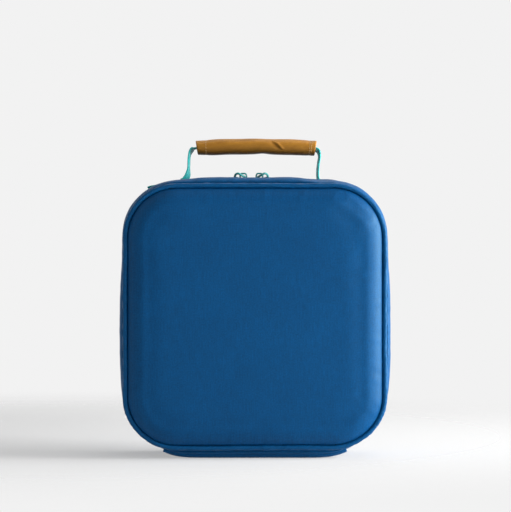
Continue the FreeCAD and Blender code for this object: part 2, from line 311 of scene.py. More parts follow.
def stitches(path, normals, length, gap, radius):
    """A row of sewn stitches along a path: short thread lengths whose ends dip into the cloth."""
    place = steps_length(path)
    count = max(1, int(place[-1] / (length + gap)))
    middle = (np.arange(count) + 0.5) / count * place[-1]

    def at(values, distance):
        return np.stack([np.interp(distance, place, values[:, axis]) for axis in range(3)], -1)

    centre = at(path, middle)
    step = unit(at(path, middle + length / 2) - at(path, middle - length / 2))
    up = unit(at(normals, middle))
    side = np.cross(step, up)
    angle = np.arange(STITCH_SIDES) / STITCH_SIDES * TAU
    thick = radius * np.sqrt(np.maximum(1 - STITCH_RINGS ** 2, STITCH_TIP))
    lift = radius * STITCH_LIFT * (1 - STITCH_DIVE * STITCH_RINGS ** 2)
    along = STITCH_RINGS * length / 2
    rise = lift[None] + thick[None] * np.sin(angle)[:, None]
    aside = thick[None] * np.cos(angle)[:, None]
    points = (
        centre[:, None, None]
        + step[:, None, None] * along[None, None, :, None]
        + up[:, None, None] * rise[None, :, :, None]
        + side[:, None, None] * aside[None, :, :, None]
    )
    around = np.arange(STITCH_SIDES + 1) / STITCH_SIDES * TAU * radius
    return flipped(repeated(tube(points[0], along, around), points))


def piece(name, shape, material, body=None, nodes=()):
    """A new object from a shape, with its material, riding on a body and standing for CAD nodes."""
    mesh = bpy.data.meshes.new(name)
    mesh.vertices.add(len(shape.points))
    mesh.loops.add(len(shape.order))
    mesh.polygons.add(len(shape.sizes))
    mesh.vertices.foreach_set("co", shape.points.astype(np.float32).ravel())
    mesh.loops.foreach_set("vertex_index", shape.order.astype(np.int32))
    mesh.polygons.foreach_set("loop_start", (np.cumsum(shape.sizes) - shape.sizes).astype(np.int32))
    mesh.polygons.foreach_set("use_smooth", np.ones(len(shape.sizes), bool))
    mesh.update(calc_edges=True)
    layer = mesh.uv_layers.new(name="Cloth")
    layer.data.foreach_set("uv", shape.cloth.astype(np.float32).ravel())
    mesh.materials.append(material)
    mesh.validate()
    made = bpy.data.objects.new(name, mesh)
    bpy.context.scene.collection.objects.link(made)
    if body:
        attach(made, body)
    if nodes:
        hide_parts(*nodes)
    return made


def outward_faces(made):
    """Turns the faces of closed shells outwards."""
    mesh = bmesh.new()
    mesh.from_mesh(made.data)
    bmesh.ops.recalc_face_normals(mesh, faces=mesh.faces)
    mesh.to_mesh(made.data)
    mesh.free()


class Value:
    """One number of a shader, so that sums on it add Math nodes."""

    def __init__(self, finish, socket):
        self.finish = finish
        self.socket = socket

    def math(self, operation, *others):
        inputs = dict(enumerate((self, *others)))
        return self.finish.node("ShaderNodeMath", {"operation": operation}, inputs)

    def __add__(self, other):
        return self.math("ADD", other)

    def __sub__(self, other):
        return self.math("SUBTRACT", other)

    def __rsub__(self, other):
        return self.finish.node("ShaderNodeMath", {"operation": "SUBTRACT"}, {0: other, 1: self})

    def __mul__(self, other):
        return self.math("MULTIPLY", other)

    def __truediv__(self, other):
        return self.math("DIVIDE", other)

    __radd__ = __add__
    __rmul__ = __mul__

    def sine(self):
        return self.math("SINE")

    def size(self):
        return self.math("ABSOLUTE")

    def above(self, other):
        return self.math("GREATER_THAN", other)

    def largest(self, other):
        return self.math("MAXIMUM", other)

    def kept(self):
        """Held between 0 and 1."""
        return self.math("MINIMUM", 1.0).math("MAXIMUM", 0.0)


class Nodes:
    """A node tree under way, of a material or of the world."""

    def __init__(self, owner):
        owner.use_nodes = True
        self.tree = owner.node_tree

    def node(self, kind, settings, inputs, output=0):
        """A node of a kind, with its settings made first and then its sockets' values or links."""
        made = self.tree.nodes.new(kind)
        for name, value in settings.items():
            setattr(made, name, value)
        for name, value in inputs.items():
            if isinstance(value, Value):
                self.tree.links.new(value.socket, made.inputs[name])
            else:
                made.inputs[name].default_value = value
        return Value(self, made.outputs[output])

    def rays(self, *kinds):
        """1 on rays of these kinds, and 0 on others."""
        outputs = self.node("ShaderNodeLightPath", {}, {}).socket.node.outputs
        return sum(Value(self, outputs[kind]) for kind in kinds).kept()

    def show(self, shader, output):
        """Links a shader to the tree's output node."""
        self.tree.links.new(shader.socket, self.tree.nodes[output].inputs["Surface"])


class Finish(Nodes):
    """A material under way, with its shader and the cloth coordinates that it reads."""

    def __init__(self, name):
        self.material = bpy.data.materials.new(name)
        super().__init__(self.material)
        self.shader = self.tree.nodes["Principled BSDF"]

    def cloth(self, turned=0.0):
        """The piece's own cloth coordinates, in metres, turned by an angle: along and across."""
        coordinates = self.node("ShaderNodeUVMap", {"uv_map": "Cloth"}, {})
        mapped = self.node("ShaderNodeMapping", {}, {"Vector": coordinates, "Rotation": (0, 0, turned)})
        return self.parts(mapped)[:2]

    def parts(self, vector):
        """The X, Y and Z of a vector."""
        node = self.node("ShaderNodeSeparateXYZ", {}, {"Vector": vector}).socket.node
        return [Value(self, output) for output in node.outputs]

    def place(self):
        """Object coordinates, in metres."""
        return self.node("ShaderNodeTexCoord", {}, {}, "Object")

    def joined(self, x, y):
        """A flat vector from two values."""
        return self.node("ShaderNodeCombineXYZ", {}, {"X": x, "Y": y})

    def noise(self, vector, scale, detail, roughness=0.5):
        """Soft random values between 0 and 1."""
        inputs = {"Vector": vector, "Scale": scale, "Detail": detail, "Roughness": roughness}
        return self.node("ShaderNodeTexNoise", {}, inputs)

    def cloth_noise(self, along, across, detail, roughness=0.5):
        """Soft random values between 0 and 1 over scaled cloth coordinates."""
        return self.noise(self.joined(along, across), 1.0, detail, roughness)

    def mix(self, share, one, other):
        """A colour between two, by a share from 0 to 1."""
        one = one if isinstance(one, Value) else (*one, 1)
        other = other if isinstance(other, Value) else (*other, 1)
        return self.node("ShaderNodeMix", {"data_type": "RGBA"}, {0: share, 6: one, 7: other}, 2)

    def set(self, **values):
        """Shader sockets by name, with _ for a space: numbers are set and values are linked."""
        for name, value in values.items():
            socket = self.shader.inputs[name.replace("_", " ")]
            if isinstance(value, Value):
                self.tree.links.new(value.socket, socket)
            else:
                socket.default_value = value

    def done(self, share, one, other, height, distance):
        """The material, with a colour between two by a share, and bump from a height whose step from 0 to 1
        stands for a distance."""
        self.set(Base_Color=self.mix(share, one, other))
        inputs = {"Height": height, "Distance": distance, "Strength": 1.0}
        self.set(Normal=self.node("ShaderNodeBump", {}, inputs))
        return self.material


def colour(red, green, blue):
    """A colour written as it looks on a screen, 0 to 255, as the shader's linear numbers."""
    values = np.array([red, green, blue]) / 255
    return tuple(np.where(values <= 0.04045, values / 12.92, ((values + 0.055) / 1.055) ** 2.4))


def plain_weave(along, across, pitch):
    """Height of a plain weave: round threads both ways, each over its neighbours in turn."""
    warp = (along * (math.pi / pitch)).sine()
    weft = (across * (math.pi / pitch)).sine()
    over = (warp * weft).above(0.0)
    return over * warp.size() + (1 - over) * weft.size()


CLOTH_PITCH = 0.62 * MM
CLOTH_ROUGH = 0.42
CLOTH_SHINE = (0.45, 0.92, 1, 1)


def woven_cloth(name, dark, light, turned=0.0):
    """Plain-woven polyester: threads, slubs that streak along the warp, and a mottled shade."""
    finish = Finish(name)
    along, across = finish.cloth(turned)
    weave = plain_weave(along, across, CLOTH_PITCH)
    streak = finish.cloth_noise(along * 1500, across * 70, 3.0, 0.6)
    grain = finish.cloth_noise(along * 700, across * 700, 2.0, 0.6)
    blotch = finish.cloth_noise(along * 170, across * 170, 2.0)
    mottle = finish.cloth_noise(along * 25, across * 25, 3.0)
    share = (weave * 0.3 + streak * 0.75 + grain * 0.8 + blotch * 0.25 + mottle * 0.3 - 0.8).kept()
    finish.set(Roughness=(CLOTH_ROUGH + 0.12 * (grain - 0.5) + 0.06 * (1 - weave)).kept())
    finish.set(Specular_IOR_Level=0.25, Specular_Tint=CLOTH_SHINE)
    return finish.done(share, dark, light, weave * 0.6 + streak * 0.5 + grain * 0.3, 0.07 * MM)


def ribbed_tape(name, dark, light, rib, pick, rough=0.6, passing=0.0):
    """Narrow woven tape: ribs along its length with picks crossing them. passing is the share of light that
    it lets through."""
    finish = Finish(name)
    along, across = finish.cloth()
    ribs = (across * (math.pi / rib)).sine().size()
    picks = ((along + across * 0.5) * (math.pi / pick)).sine().size()
    grain = finish.cloth_noise(along * 900, across * 900, 2.0)
    shade = (ribs * 0.45 + picks * 0.35 + grain * 0.5 - 0.2).kept()
    finish.set(Roughness=(rough + 0.2 * (grain - 0.5)).kept(), Specular_IOR_Level=0.2)
    finish.set(Subsurface_Weight=passing, Subsurface_Scale=4 * MM, Subsurface_Radius=(1, 1, 1))
    return finish.done(shade, dark, light, ribs * 0.6 + picks * 0.4, 0.2 * MM)


def twisted_thread(name, dark, light):
    """Sewing thread or cord: plies that wind round it."""
    finish = Finish(name)
    along, across = finish.cloth()
    plies = ((along + across) * (TAU / (0.9 * MM))).sine() * 0.5 + 0.5
    finish.set(Roughness=0.5, Sheen_Weight=0.2)
    return finish.done(plies, dark, light, plies, 0.1 * MM)


def braided_cord(name, dark, light):
    """Braided cord: two sets of strands that cross on a slant through the object's own place."""
    finish = Finish(name)
    place = finish.place()
    x, y, z = finish.parts(place)
    one = ((x + y + z) * (math.pi / (0.55 * MM))).sine().size()
    other = ((x - y + z) * (math.pi / (0.55 * MM))).sine().size()
    strands = one.largest(other)
    grain = finish.noise(place, 900.0, 2.0)
    finish.set(Roughness=(0.45 + 0.2 * (grain - 0.5)).kept(), Sheen_Weight=0.2)
    return finish.done((strands * 0.7 + grain * 0.5 - 0.1).kept(), dark, light, strands, 0.18 * MM)


WRAP_ROUND = 54 * MM
# How far round from the grip's bottom its painted shade reaches
UNDERSIDE_SHADE_REACH = 18 * MM


def waxed_wrap(name, dark, light, underside_shade):
    """The grip's tan wrap: close twill with rubbed areas, and painted shade that darkens it underneath."""
    finish = Finish(name)
    along, across = finish.cloth()
    twill = ((along + across) * (math.pi / (0.45 * MM))).sine().size()
    rub = finish.cloth_noise(along * 60, across * 110, 4.0, 0.6)
    grain = finish.cloth_noise(along * 800, across * 800, 2.0)
    share = (twill * 0.2 + rub * 0.9 + grain * 0.35 - 0.35).kept()
    # Painted shade: the colour is mixed towards a dark one along the grip's underside
    under = (1 - (across - WRAP_ROUND / 2).size() / UNDERSIDE_SHADE_REACH).kept()
    unshaded_colour = finish.mix(share, dark, light)
    finish.set(Roughness=(0.44 + 0.25 * (rub - 0.5) + 0.1 * (grain - 0.5)).kept())
    finish.set(Specular_IOR_Level=0.15)
    height = twill * 0.35 + rub * 0.5 + grain * 0.3
    return finish.done((under * (0.95 + 0.5 * rub)).kept(), unshaded_colour, underside_shade, height, 0.12 * MM)


def wipe_clean_film(name, dark, light):
    """The lining: thin film with soft crinkles and a dull shine."""
    finish = Finish(name)
    along, across = finish.cloth()
    crinkle = finish.cloth_noise(along * 90, across * 90, 5.0, 0.65)
    fine = finish.cloth_noise(along * 500, across * 500, 2.0)
    share = (crinkle * 0.9 + fine * 0.2 - 0.1).kept()
    finish.set(Roughness=(0.3 + 0.25 * crinkle).kept(), Specular_IOR_Level=0.5)
    return finish.done(share, dark, light, crinkle + fine * 0.15, 0.5 * MM)


def painted_casting(name, dark, light):
    """Painted zinc whose paint varies in random speckles and patches of wear."""
    finish = Finish(name)
    place = finish.place()
    speckle = finish.noise(place, 1400.0, 3.0)
    wear = finish.noise(place, 320.0, 4.0)
    finish.set(Roughness=(0.26 + 0.2 * wear).kept(), Coat_Weight=0.2)
    return finish.done((speckle * 0.6 + wear * 0.5).kept(), dark, light, speckle, 0.03 * MM)


def moulded_nylon(name, dark, light):
    """Zipper coil: nylon filament with a slight gloss."""
    finish = Finish(name)
    speckle = finish.noise(finish.place(), 600.0, 3.0)
    finish.set(Roughness=(0.34 + 0.2 * speckle).kept())
    return finish.done(speckle, dark, light, speckle, 0.02 * MM)


BLUE_DARK = colour(0, 54, 98)
BLUE_LIGHT = colour(2, 90, 150)
# The panels' cloth is the gusset's blue painted a few levels darker: painted shade that offsets the extra
# reflected light on the panels
SHADED_PANEL_CLOTH = woven_cloth("blue_panel_cloth_shaded", colour(0, 49, 93), colour(0, 85, 145))
GUSSET_CLOTH = woven_cloth("blue_gusset_cloth", BLUE_DARK, BLUE_LIGHT)
PIPING_CLOTH = woven_cloth("blue_piping_cloth", BLUE_DARK, BLUE_LIGHT, turned=TAU / 8)
TAPE_CLOTH = ribbed_tape("blue_zipper_tape", colour(10, 48, 86), colour(28, 86, 136), 0.7 * MM, 0.9 * MM)
BINDING_DARK = colour(10, 38, 70)
BINDING_LIGHT = colour(28, 70, 112)
BINDING_CLOTH = ribbed_tape("navy_binding_tape", BINDING_DARK, BINDING_LIGHT, 0.8 * MM, 1.1 * MM)
COIL_NYLON = moulded_nylon("blue_coil_nylon", colour(9, 45, 82), colour(24, 78, 124))
WEBBING_DARK = colour(4, 100, 104)
WEBBING_LIGHT = colour(56, 188, 184)
TEAL_WEBBING = ribbed_tape("teal_webbing", WEBBING_DARK, WEBBING_LIGHT, 1.5 * MM, 1.2 * MM, 0.5, 0.9)
TEAL_CORD = braided_cord("teal_cord", colour(12, 98, 98), colour(62, 178, 174))
TEAL_PAINT = painted_casting("teal_paint", colour(18, 112, 112), colour(44, 152, 150))
# The third colour is painted shade for the grip's underside
TAN_WRAP = waxed_wrap("tan_wrap", colour(144, 94, 26), colour(216, 154, 60), colour(50, 30, 6))
LINING_FILM = wipe_clean_film("pale_lining", colour(168, 178, 184), colour(206, 212, 214))
BLUE_THREAD = twisted_thread("blue_thread", colour(12, 54, 94), colour(40, 104, 154))
TEAL_THREAD = twisted_thread("teal_thread", colour(20, 130, 132), colour(96, 214, 210))
PALE_THREAD = twisted_thread("pale_thread", colour(176, 132, 70), colour(222, 186, 124))

# Padded panels
PANEL_GRID = 121
PANEL_CROWD = 0.55
PANEL_OUT = -0.2 * MM
PANEL_SHOULDER = 16.5 * MM
PANEL_EDGE = 2.8 * MM
SHOULDER_SLOPE = 0.55
SHOULDER_EASE = 0.4
SHOULDER_STEPS = 80
EDGE_SLOPE = 0.42
BOTTOM_LIFT = 1.0 * MM
LIFT_FADE = 45 * MM
PANEL_CROWN = 0.4 * MM
PANEL_SWELL = 0.6 * MM
SWELL_PASSES = 12
SWELL_HELD = 6 * MM
PANEL_BACK = 0.05 * MM
PUCKER = 0.22 * MM
PUCKER_REACH = 9 * MM
PUCKER_START = 3 * MM
PUCKER_WAVES = [(0.6, 64, 0.1), (0.4, 41, 0.45), (0.5, 87, 0.7)]
DENT_FADE = 8 * MM
CLOTH_FRAMES = 20
CLOTH_SETTINGS = {
    "quality": 5,
    "mass": 0.3,
    "tension_stiffness": 40,
    "compression_stiffness": 40,
    "shear_stiffness": 20,
    "bending_stiffness": 4,
    "use_pressure": True,
    "uniform_pressure_force": 4.0,
    "vertex_group_mass": "held",
}


def panel_depths(x, z):
    """Distance in from the panel's rounded edge, positive inside it."""
    over_x = np.abs(x) - (PANEL_HALF_WIDTH - PANEL_CORNER)
    over_z = np.abs(z) - (PANEL_HALF_HEIGHT - PANEL_CORNER)
    beyond = np.hypot(np.maximum(over_x, 0), np.maximum(over_z, 0))
    return PANEL_CORNER + PANEL_OUT - beyond - np.minimum(np.maximum(over_x, over_z), 0)


def panel_grid():
    """X and Z of a square grid fitted to the panel's outline: each row is as wide as the outline there."""
    line = np.linspace(-1, 1, PANEL_GRID)
    line = (1 - PANEL_CROWD) * line + PANEL_CROWD * np.sin(line * TAU / 4)
    corner = PANEL_CORNER + PANEL_OUT
    z = np.repeat(line[:, None] * (PANEL_HALF_HEIGHT + PANEL_OUT), PANEL_GRID, 1)
    over = np.maximum(np.abs(z) - (PANEL_HALF_HEIGHT - PANEL_CORNER), 0)
    half = PANEL_HALF_WIDTH - PANEL_CORNER + np.sqrt(np.maximum(corner ** 2 - over ** 2, 0))
    return line[None] * half, z


def bottom_lift(x, z):
    """How far the front panel's lower edge is drawn up: more on the right, and less further up."""
    lift = BOTTOM_LIFT * (1 + 0.5 * np.clip(x / PANEL_HALF_WIDTH, -1, 1))
    return lift * (1 - smooth(z, -PANEL_HALF_HEIGHT, -PANEL_HALF_HEIGHT + LIFT_FADE))


def panel_relief(x, z, dents):
    """How far the padded panel stands out from its back: a shoulder whose slope is steepest at the seam and
    eases into the flat, a slight crown, puckers along the seam and a few soft dents, given as X, Z,
    depth and two radii in millimetres, and a slant."""
    depth = panel_depths(x, z)
    step = np.linspace(0, PANEL_SHOULDER, SHOULDER_STEPS)
    slope = SHOULDER_SLOPE * (1 - smooth(step, SHOULDER_EASE * PANEL_SHOULDER, PANEL_SHOULDER))
    slope = slope + EDGE_SLOPE * np.clip(1 - 2 * step / PANEL_SHOULDER, 0, 1)
    rise = np.concatenate([[0], np.cumsum((slope[1:] + slope[:-1]) / 2)]) * step[1]
    crown = PANEL_CROWN * smooth(depth, 0, PANEL_HALF_WIDTH)
    height = PANEL_EDGE + np.interp(depth, step, rise) + crown
    angle = np.arctan2(z / PANEL_HALF_HEIGHT, x / PANEL_HALF_WIDTH) / TAU
    folds = waves(angle, PUCKER_WAVES)
    height += PUCKER * folds * np.exp(-depth / PUCKER_REACH) * smooth(depth, 0, PUCKER_START)
    for *lengths, slant in dents:
        dent_x, dent_z, deep, wide, tall = np.array(lengths) * MM
        across = (x - dent_x) * math.cos(slant) + (z - dent_z) * math.sin(slant)
        up = (z - dent_z) * math.cos(slant) - (x - dent_x) * math.sin(slant)
        height -= deep * np.exp(-((across / wide) ** 2) - (up / tall) ** 2) * smooth(depth, 0, DENT_FADE)
    return height


def evened(grid, passes):
    """A grid of vectors averaged with its neighbours both ways, several times, with its rim kept."""
    for _ in range(passes):
        inner = grid[1:-1, 1:-1] * 2 + grid[:-2, 1:-1] + grid[2:, 1:-1] + grid[1:-1, :-2] + grid[1:-1, 2:]
        grid = grid.copy()
        grid[1:-1, 1:-1] = inner / 6
    return grid


def swell(made, held, cap):
    """Inflates a padded piece with a cloth simulation: held points stay, and no point moves further than
    cap. The front's movement is evened out, because stuffing stiffens cloth against wrinkles."""
    scene = bpy.context.scene
    group = made.vertex_groups.new(name="held")
    group.add(np.flatnonzero(held).tolist(), 1.0, "REPLACE")
    cloth = made.modifiers.new("swell", "CLOTH")
    for name, value in CLOTH_SETTINGS.items():
        setattr(cloth.settings, name, value)
    cloth.settings.effector_weights.gravity = 0
    cloth.collision_settings.use_collision = False
    cloth.point_cache.frame_start = 1
    cloth.point_cache.frame_end = CLOTH_FRAMES
    for step in range(1, CLOTH_FRAMES + 1):
        scene.frame_set(step)
    swollen = made.evaluated_get(bpy.context.evaluated_depsgraph_get()).to_mesh()
    count = len(made.data.vertices)
    before = np.empty(count * 3, np.float32)
    after = np.empty(count * 3, np.float32)
    made.data.vertices.foreach_get("co", before)
    swollen.vertices.foreach_get("co", after)
    made.modifiers.remove(cloth)
    made.vertex_groups.remove(group)
    moved = (after - before).reshape(-1, 3)
    length = np.linalg.norm(moved, axis=1, keepdims=True)
    moved *= cap * np.tanh(length / cap) / np.maximum(length, TINY)
    front = moved[: PANEL_GRID ** 2].reshape(PANEL_GRID, PANEL_GRID, 3)
    moved[: PANEL_GRID ** 2] = evened(front, SWELL_PASSES).reshape(-1, 3)
    made.data.vertices.foreach_set("co", (before + moved.ravel()).astype(np.float32))
    made.data.update()
    scene.frame_set(1)


def padded_panel(side, facing, body, dents):
    """A padded panel: a crowned front and a flat back on one grid, joined round the edge, then swollen."""
    x, z = panel_grid()
    out = panel_relief(x, z, dents)
    if facing < 0:
        z = z + bottom_lift(x, z)
    front = np.stack([x, facing * (SEAM_Y + out), CENTRE_Z + z], -1)
    back = np.stack([x, np.full_like(x, facing * (SEAM_Y + PANEL_BACK)), CENTRE_Z + z], -1)[1:-1, 1:-1]
    points = np.concatenate([front.reshape(-1, 3), back.reshape(-1, 3)])
    grid = patch(front, x[PANEL_GRID // 2], z[:, 0])
    cloth = np.stack([x, z], -1).reshape(-1, 2)[grid.order]
    behind = np.arange(x.size).reshape(x.shape)
    behind[1:-1, 1:-1] = x.size + np.arange(back[..., 0].size).reshape(back.shape[:2])
    rear = flipped(Shape(points, behind.ravel()[grid.order], grid.sizes, cloth))
    order = np.concatenate([grid.order, rear.order])
    shape = Shape(points, order, np.tile(grid.sizes, 2), np.concatenate([cloth, rear.cloth]))
    shape = flipped(shape) if facing > 0 else shape
    nodes = (f"{side}_panel_cover", f"{side}_panel_foam")
    made = piece(f"{side}_panel", shape, SHADED_PANEL_CLOTH, body, nodes)
    held = np.ones(len(points), bool)
    held[: x.size] = panel_depths(x, z).ravel() < SWELL_HELD
    swell(made, held, PANEL_SWELL)


FRONT_DENTS = [
    (92, 60, 0.5, 7, 22, 0.3),
    (88, 96, 0.8, 19, 4.5, -0.67),
    (84, -86, 0.7, 8, 20, -0.6),
    (60, -98, 0.5, 16, 5, 0.1),
    (-88, -84, 0.4, 8, 18, 0.7),
    (-20, 30, 0.5, 60, 50, 0.4),
]
BACK_DENTS = [
    (70, 80, 0.6, 9, 22, -0.7),
    (-86, -70, 0.6, 9, 22, 0.6),
    (10, -10, 0.6, 60, 60, 0.2),
]
padded_panel("front", -1, "lid", FRONT_DENTS)
padded_panel("back", 1, "body", BACK_DENTS)

# Piping in the two seams
PIPING_COUNT = 900
PIPING_SIDES = 16
piping_low, piping_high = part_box("front_piping")
PIPING_BACK = 0.4 * MM
PIPING_IN = 1.2 * MM
PIPING_RADIUS = (piping_high.y - piping_low.y) / 2
PIPING_Y = -(piping_high.y + piping_low.y) / 2 - PIPING_BACK
PIPING_INSET = HALF_WIDTH - piping_high.x + PIPING_RADIUS + PIPING_IN
PIPING_DRAG = [(0.05, 57, 0.2), (0.04, 93, 0.6), (0.03, 140, 0.9), (0.03, 31, 0.4)]
DRAG_SLANT = 0.1
PIPING_WAVER = 0.15 * MM
WAVER_WAVES = [(1, 9, 0.1), (0.7, 17, 0.5)]
JOIN_TURN = 0.0075
JOIN_STEP = 0.0004
JOIN_REACH = 0.012
JOIN_LAP = 0.16
PIPING_TAIL = [
    (PIPING_INSET, PIPING_Y),
    (PIPING_INSET + 7 * MM, SEAM_Y + 0.35 * MM),
    (PIPING_INSET + 7 * MM, SEAM_Y + 0.1 * MM),
    (PIPING_INSET, PIPING_Y - PIPING_RADIUS / 2),
]


def piping(side, facing, body):
    """Covered cord carried round the seam, with a flat tail into it: a round section that wavers where the
    bias cover drags, and thickens at the lap where its two ends meet under the bottom middle."""
    turn = ring_turns(PIPING_COUNT)
    along = ring_lengths(PIPING_COUNT)
    angle = np.arange(PIPING_SIDES)[:, None] / PIPING_SIDES * TAU
    drag = waves(turn + DRAG_SLANT * angle / TAU, PIPING_DRAG)
    from_join = np.mod(turn - JOIN_TURN + 0.5, 1.0) - 0.5
    lap = JOIN_LAP * smooth(from_join, -JOIN_STEP, JOIN_STEP) * (1 - smooth(from_join, 0.0, JOIN_REACH))
    radius = PIPING_RADIUS * (1 + drag + lap)
    inset = PIPING_INSET + PIPING_WAVER * waves(turn, WAVER_WAVES)
    depth = facing * (PIPING_Y + radius * np.sin(angle))
    points = carried(turn, inset, depth, radius * np.cos(angle), hug=0.0)
    if facing < 0:
        points[..., 2] += bottom_lift(points[..., 0], points[..., 2] - CENTRE_Z)
    around = np.arange(PIPING_SIDES + 1) / PIPING_SIDES * TAU * PIPING_RADIUS
    cord = patch(points, along, around, True, True)
    profile = np.array(PIPING_TAIL)
    points = carried(turn, profile[:, :1], facing * profile[:, 1:], hug=0.0)
    tail = patch(points, along, loop_length(profile), True, True)
    shape = combined([cord, flipped(tail)])
    shape = flipped(shape) if facing > 0 else shape
    piece(f"{side}_piping_cord", shape, PIPING_CLOTH, body, (f"{side}_piping",))


piping("front", -1, "lid")
piping("back", 1, "body")

# Gusset of each half: from under the piping, over the rounded edge, to the turned hem beside the zipper
GUSSET_COUNT = 560
HEM = 0.75 * MM
HEM_RETURN = 7 * MM
HEM_ROWS = 9
STITCH_FROM_HEM = 2.6 * MM
STITCH_DIP = 0.3 * MM
DIP_WIDE = 1.1 * MM
ZIPPER_FADE = (6 * MM, 14 * MM)
SLOW_FOLD = 0.55 * MM
SEAM_FOLD = 7 * MM
TOP_BULGE = 1.3 * MM
BULGE_LEFT = (-73 * MM, -47 * MM)
BULGE_RIGHT = (30 * MM, 56 * MM)
SEWN_SINK = 1.0 * MM
SEWN_X = (53 * MM, 58 * MM)
SEWN_Y = (10 * MM, 14 * MM)
SEWN_Z = (TOP_Z - 22 * MM, TOP_Z - 18 * MM)
CREASE = 1.8 * MM
CREASE_INSET = 4.6 * MM
CREASE_WIDE = 1.3 * MM


def gusset_profile(edge, facing):
    """Inset and depth of the gusset's profile: a lip behind the panel, a quarter round with a crease in it,
    a flat run to the hem and a half-round turn under it."""
    lip = np.linspace(3.0, 0.3, 4) * MM + EDGE_ROUND
    bend = np.linspace(0, TAU / 4, 28)
    bend_inset = EDGE_ROUND * (1 - np.sin(bend))
    run_start = SEAM_Y - EDGE_ROUND
    crease = CREASE * np.exp(-(((bend_inset - CREASE_INSET) / CREASE_WIDE) ** 2))
    run_end = facing * edge + HEM
    run = np.linspace(run_start, run_end, 22)[1:]
    turn = np.linspace(0, TAU / 2, HEM_ROWS - 1)[1:]
    inset = np.concatenate([
        lip,
        bend_inset,
        np.zeros_like(run),
        HEM * (1 - np.cos(turn)),
        np.full(2, 2 * HEM),
    ])
    depth = np.concatenate([
        np.full(len(lip), SEAM_Y),
        run_start + EDGE_ROUND * np.cos(bend) - crease,
        run,
        run_end - HEM * np.sin(turn),
        run_end + np.array([0.4, 1.0]) * HEM_RETURN,
    ])
    return inset[:, None], facing * depth[:, None]


def gusset(half, facing, edge, seed):
    """The gusset's cloth over its foam: the profile carried round the shell, pushed out into soft folds,
    with a row of stitches beside its hem."""
    inset, depth = gusset_profile(edge, facing)
    turn = ring_turns(GUSSET_COUNT)
    direction = outward(turn)
    beside_zipper = 1 - smooth(np.abs(depth - ZIPPER_Y), *ZIPPER_FADE)
    hug = 1 - smooth(inset, 0.0, EDGE_ROUND)
    points = carried(turn, inset, depth, zipper_level(turn) * beside_zipper, hug)
    normals = grid_normals(points)
    if np.sum(normals[len(inset) // 2] * direction) < 0:
        normals = -normals
    x, y, z = np.moveaxis(points, -1, 0)
    from_seam = SEAM_Y - np.abs(depth)
    from_hem = np.abs(depth - edge)
    slow = waves(turn, [(0.5, 5, seed), (0.35, 9, 0.3 + seed), (0.25, 14, 0.8 - seed)])
    folds = waves(turn, [(0.16, 38, 0.15 + seed), (0.12, 61, 0.5), (0.1, 87, 0.9 - seed)])
    on_top = smooth(z, TOP_Z - 6 * MM, TOP_Z - 0.5 * MM)
    plateau = smooth(x, *BULGE_LEFT) * (1 - smooth(x, *BULGE_RIGHT))
    height = SLOW_FOLD * slow * smooth(from_seam, 2 * MM, 12 * MM)
    height = height + MM * folds * np.exp(-from_seam / SEAM_FOLD)
    height = height + on_top * TOP_BULGE * plateau * smooth(from_seam, 0, 9 * MM)
    under_strap = smooth(np.abs(x), *SEWN_X) * smooth(z, *SEWN_Z)
    under_strap = under_strap * (1 - smooth(np.abs(y - STRAP_Y), *SEWN_Y))
    height = height * (1 - under_strap) - SEWN_SINK * under_strap
    height = height - STITCH_DIP * np.exp(-(((from_hem - STITCH_FROM_HEM) / DIP_WIDE) ** 2))
    height = height * (1 - smooth(CENTRE_Z - z, HALF_HEIGHT - 12 * MM, HALF_HEIGHT - 3 * MM))
    hem = len(inset) - HEM_ROWS
    points[:hem] += normals[:hem] * height[:hem, :, None]
    points[hem:] += direction * height[hem - 1][:, None]
    across = steps_length(np.concatenate([inset, depth], 1))
    shape = patch(points, ring_lengths(GUSSET_COUNT), across, loop_along=True)
    shape = shape if facing < 0 else flipped(shape)
    nodes = (f"{half}_gusset_cover", f"{half}_gusset_foam")
    piece(f"{half}_gusset", shape, GUSSET_CLOTH, half, nodes)
    row = np.argmin(np.abs(from_hem - STITCH_FROM_HEM)[:hem])
    sewn_path = np.vstack([points[row], points[row, :1]])
    sewn = stitches(sewn_path, outward(np.append(turn, 1.0)), *GUSSET_STITCH)
    piece(f"{half}_gusset_stitching", sewn, BLUE_THREAD, half)


gusset("lid", -1, LID_EDGE, 0.12)
gusset("body", 1, BODY_EDGE, 0.4)

# Zipper: tapes, and rows of coil whose loops pass between each other
TAPE_COUNT = 420
TAPE_INSET = HALF_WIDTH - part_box("lid_zipper_tape")[1].x
TAPE_THICK = 0.6 * MM
TAPE_MIDDLE = TAPE_INSET + TAPE_THICK / 2
hinge_low, hinge_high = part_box("hinge_strip")
HINGE_GAP = 1 * MM
HINGE_TURN = (hinge_high.x + HINGE_GAP) / ROUND
COIL_PITCH = 1.7 * MM
COIL_WIRE = 0.36 * MM
COIL_SAMPLES = 10
COIL_SIDES = 5
COIL_HALF_WIDTH = 1.15 * MM
COIL_HALF_HEIGHT = 0.8 * MM
COIL_REACH = 0.35 * MM
COIL_UNDER = 1.28 * MM
TAPE_EDGE_START = 3.0 * MM
TAPE_EDGE_GAP = 0.002 * MM
TAPE_EDGE_HALF = 0.1 * MM
TAPE_EDGE_DIP = (1.7 * MM, 2.9 * MM)
TAPE_EDGE_ROWS = 9


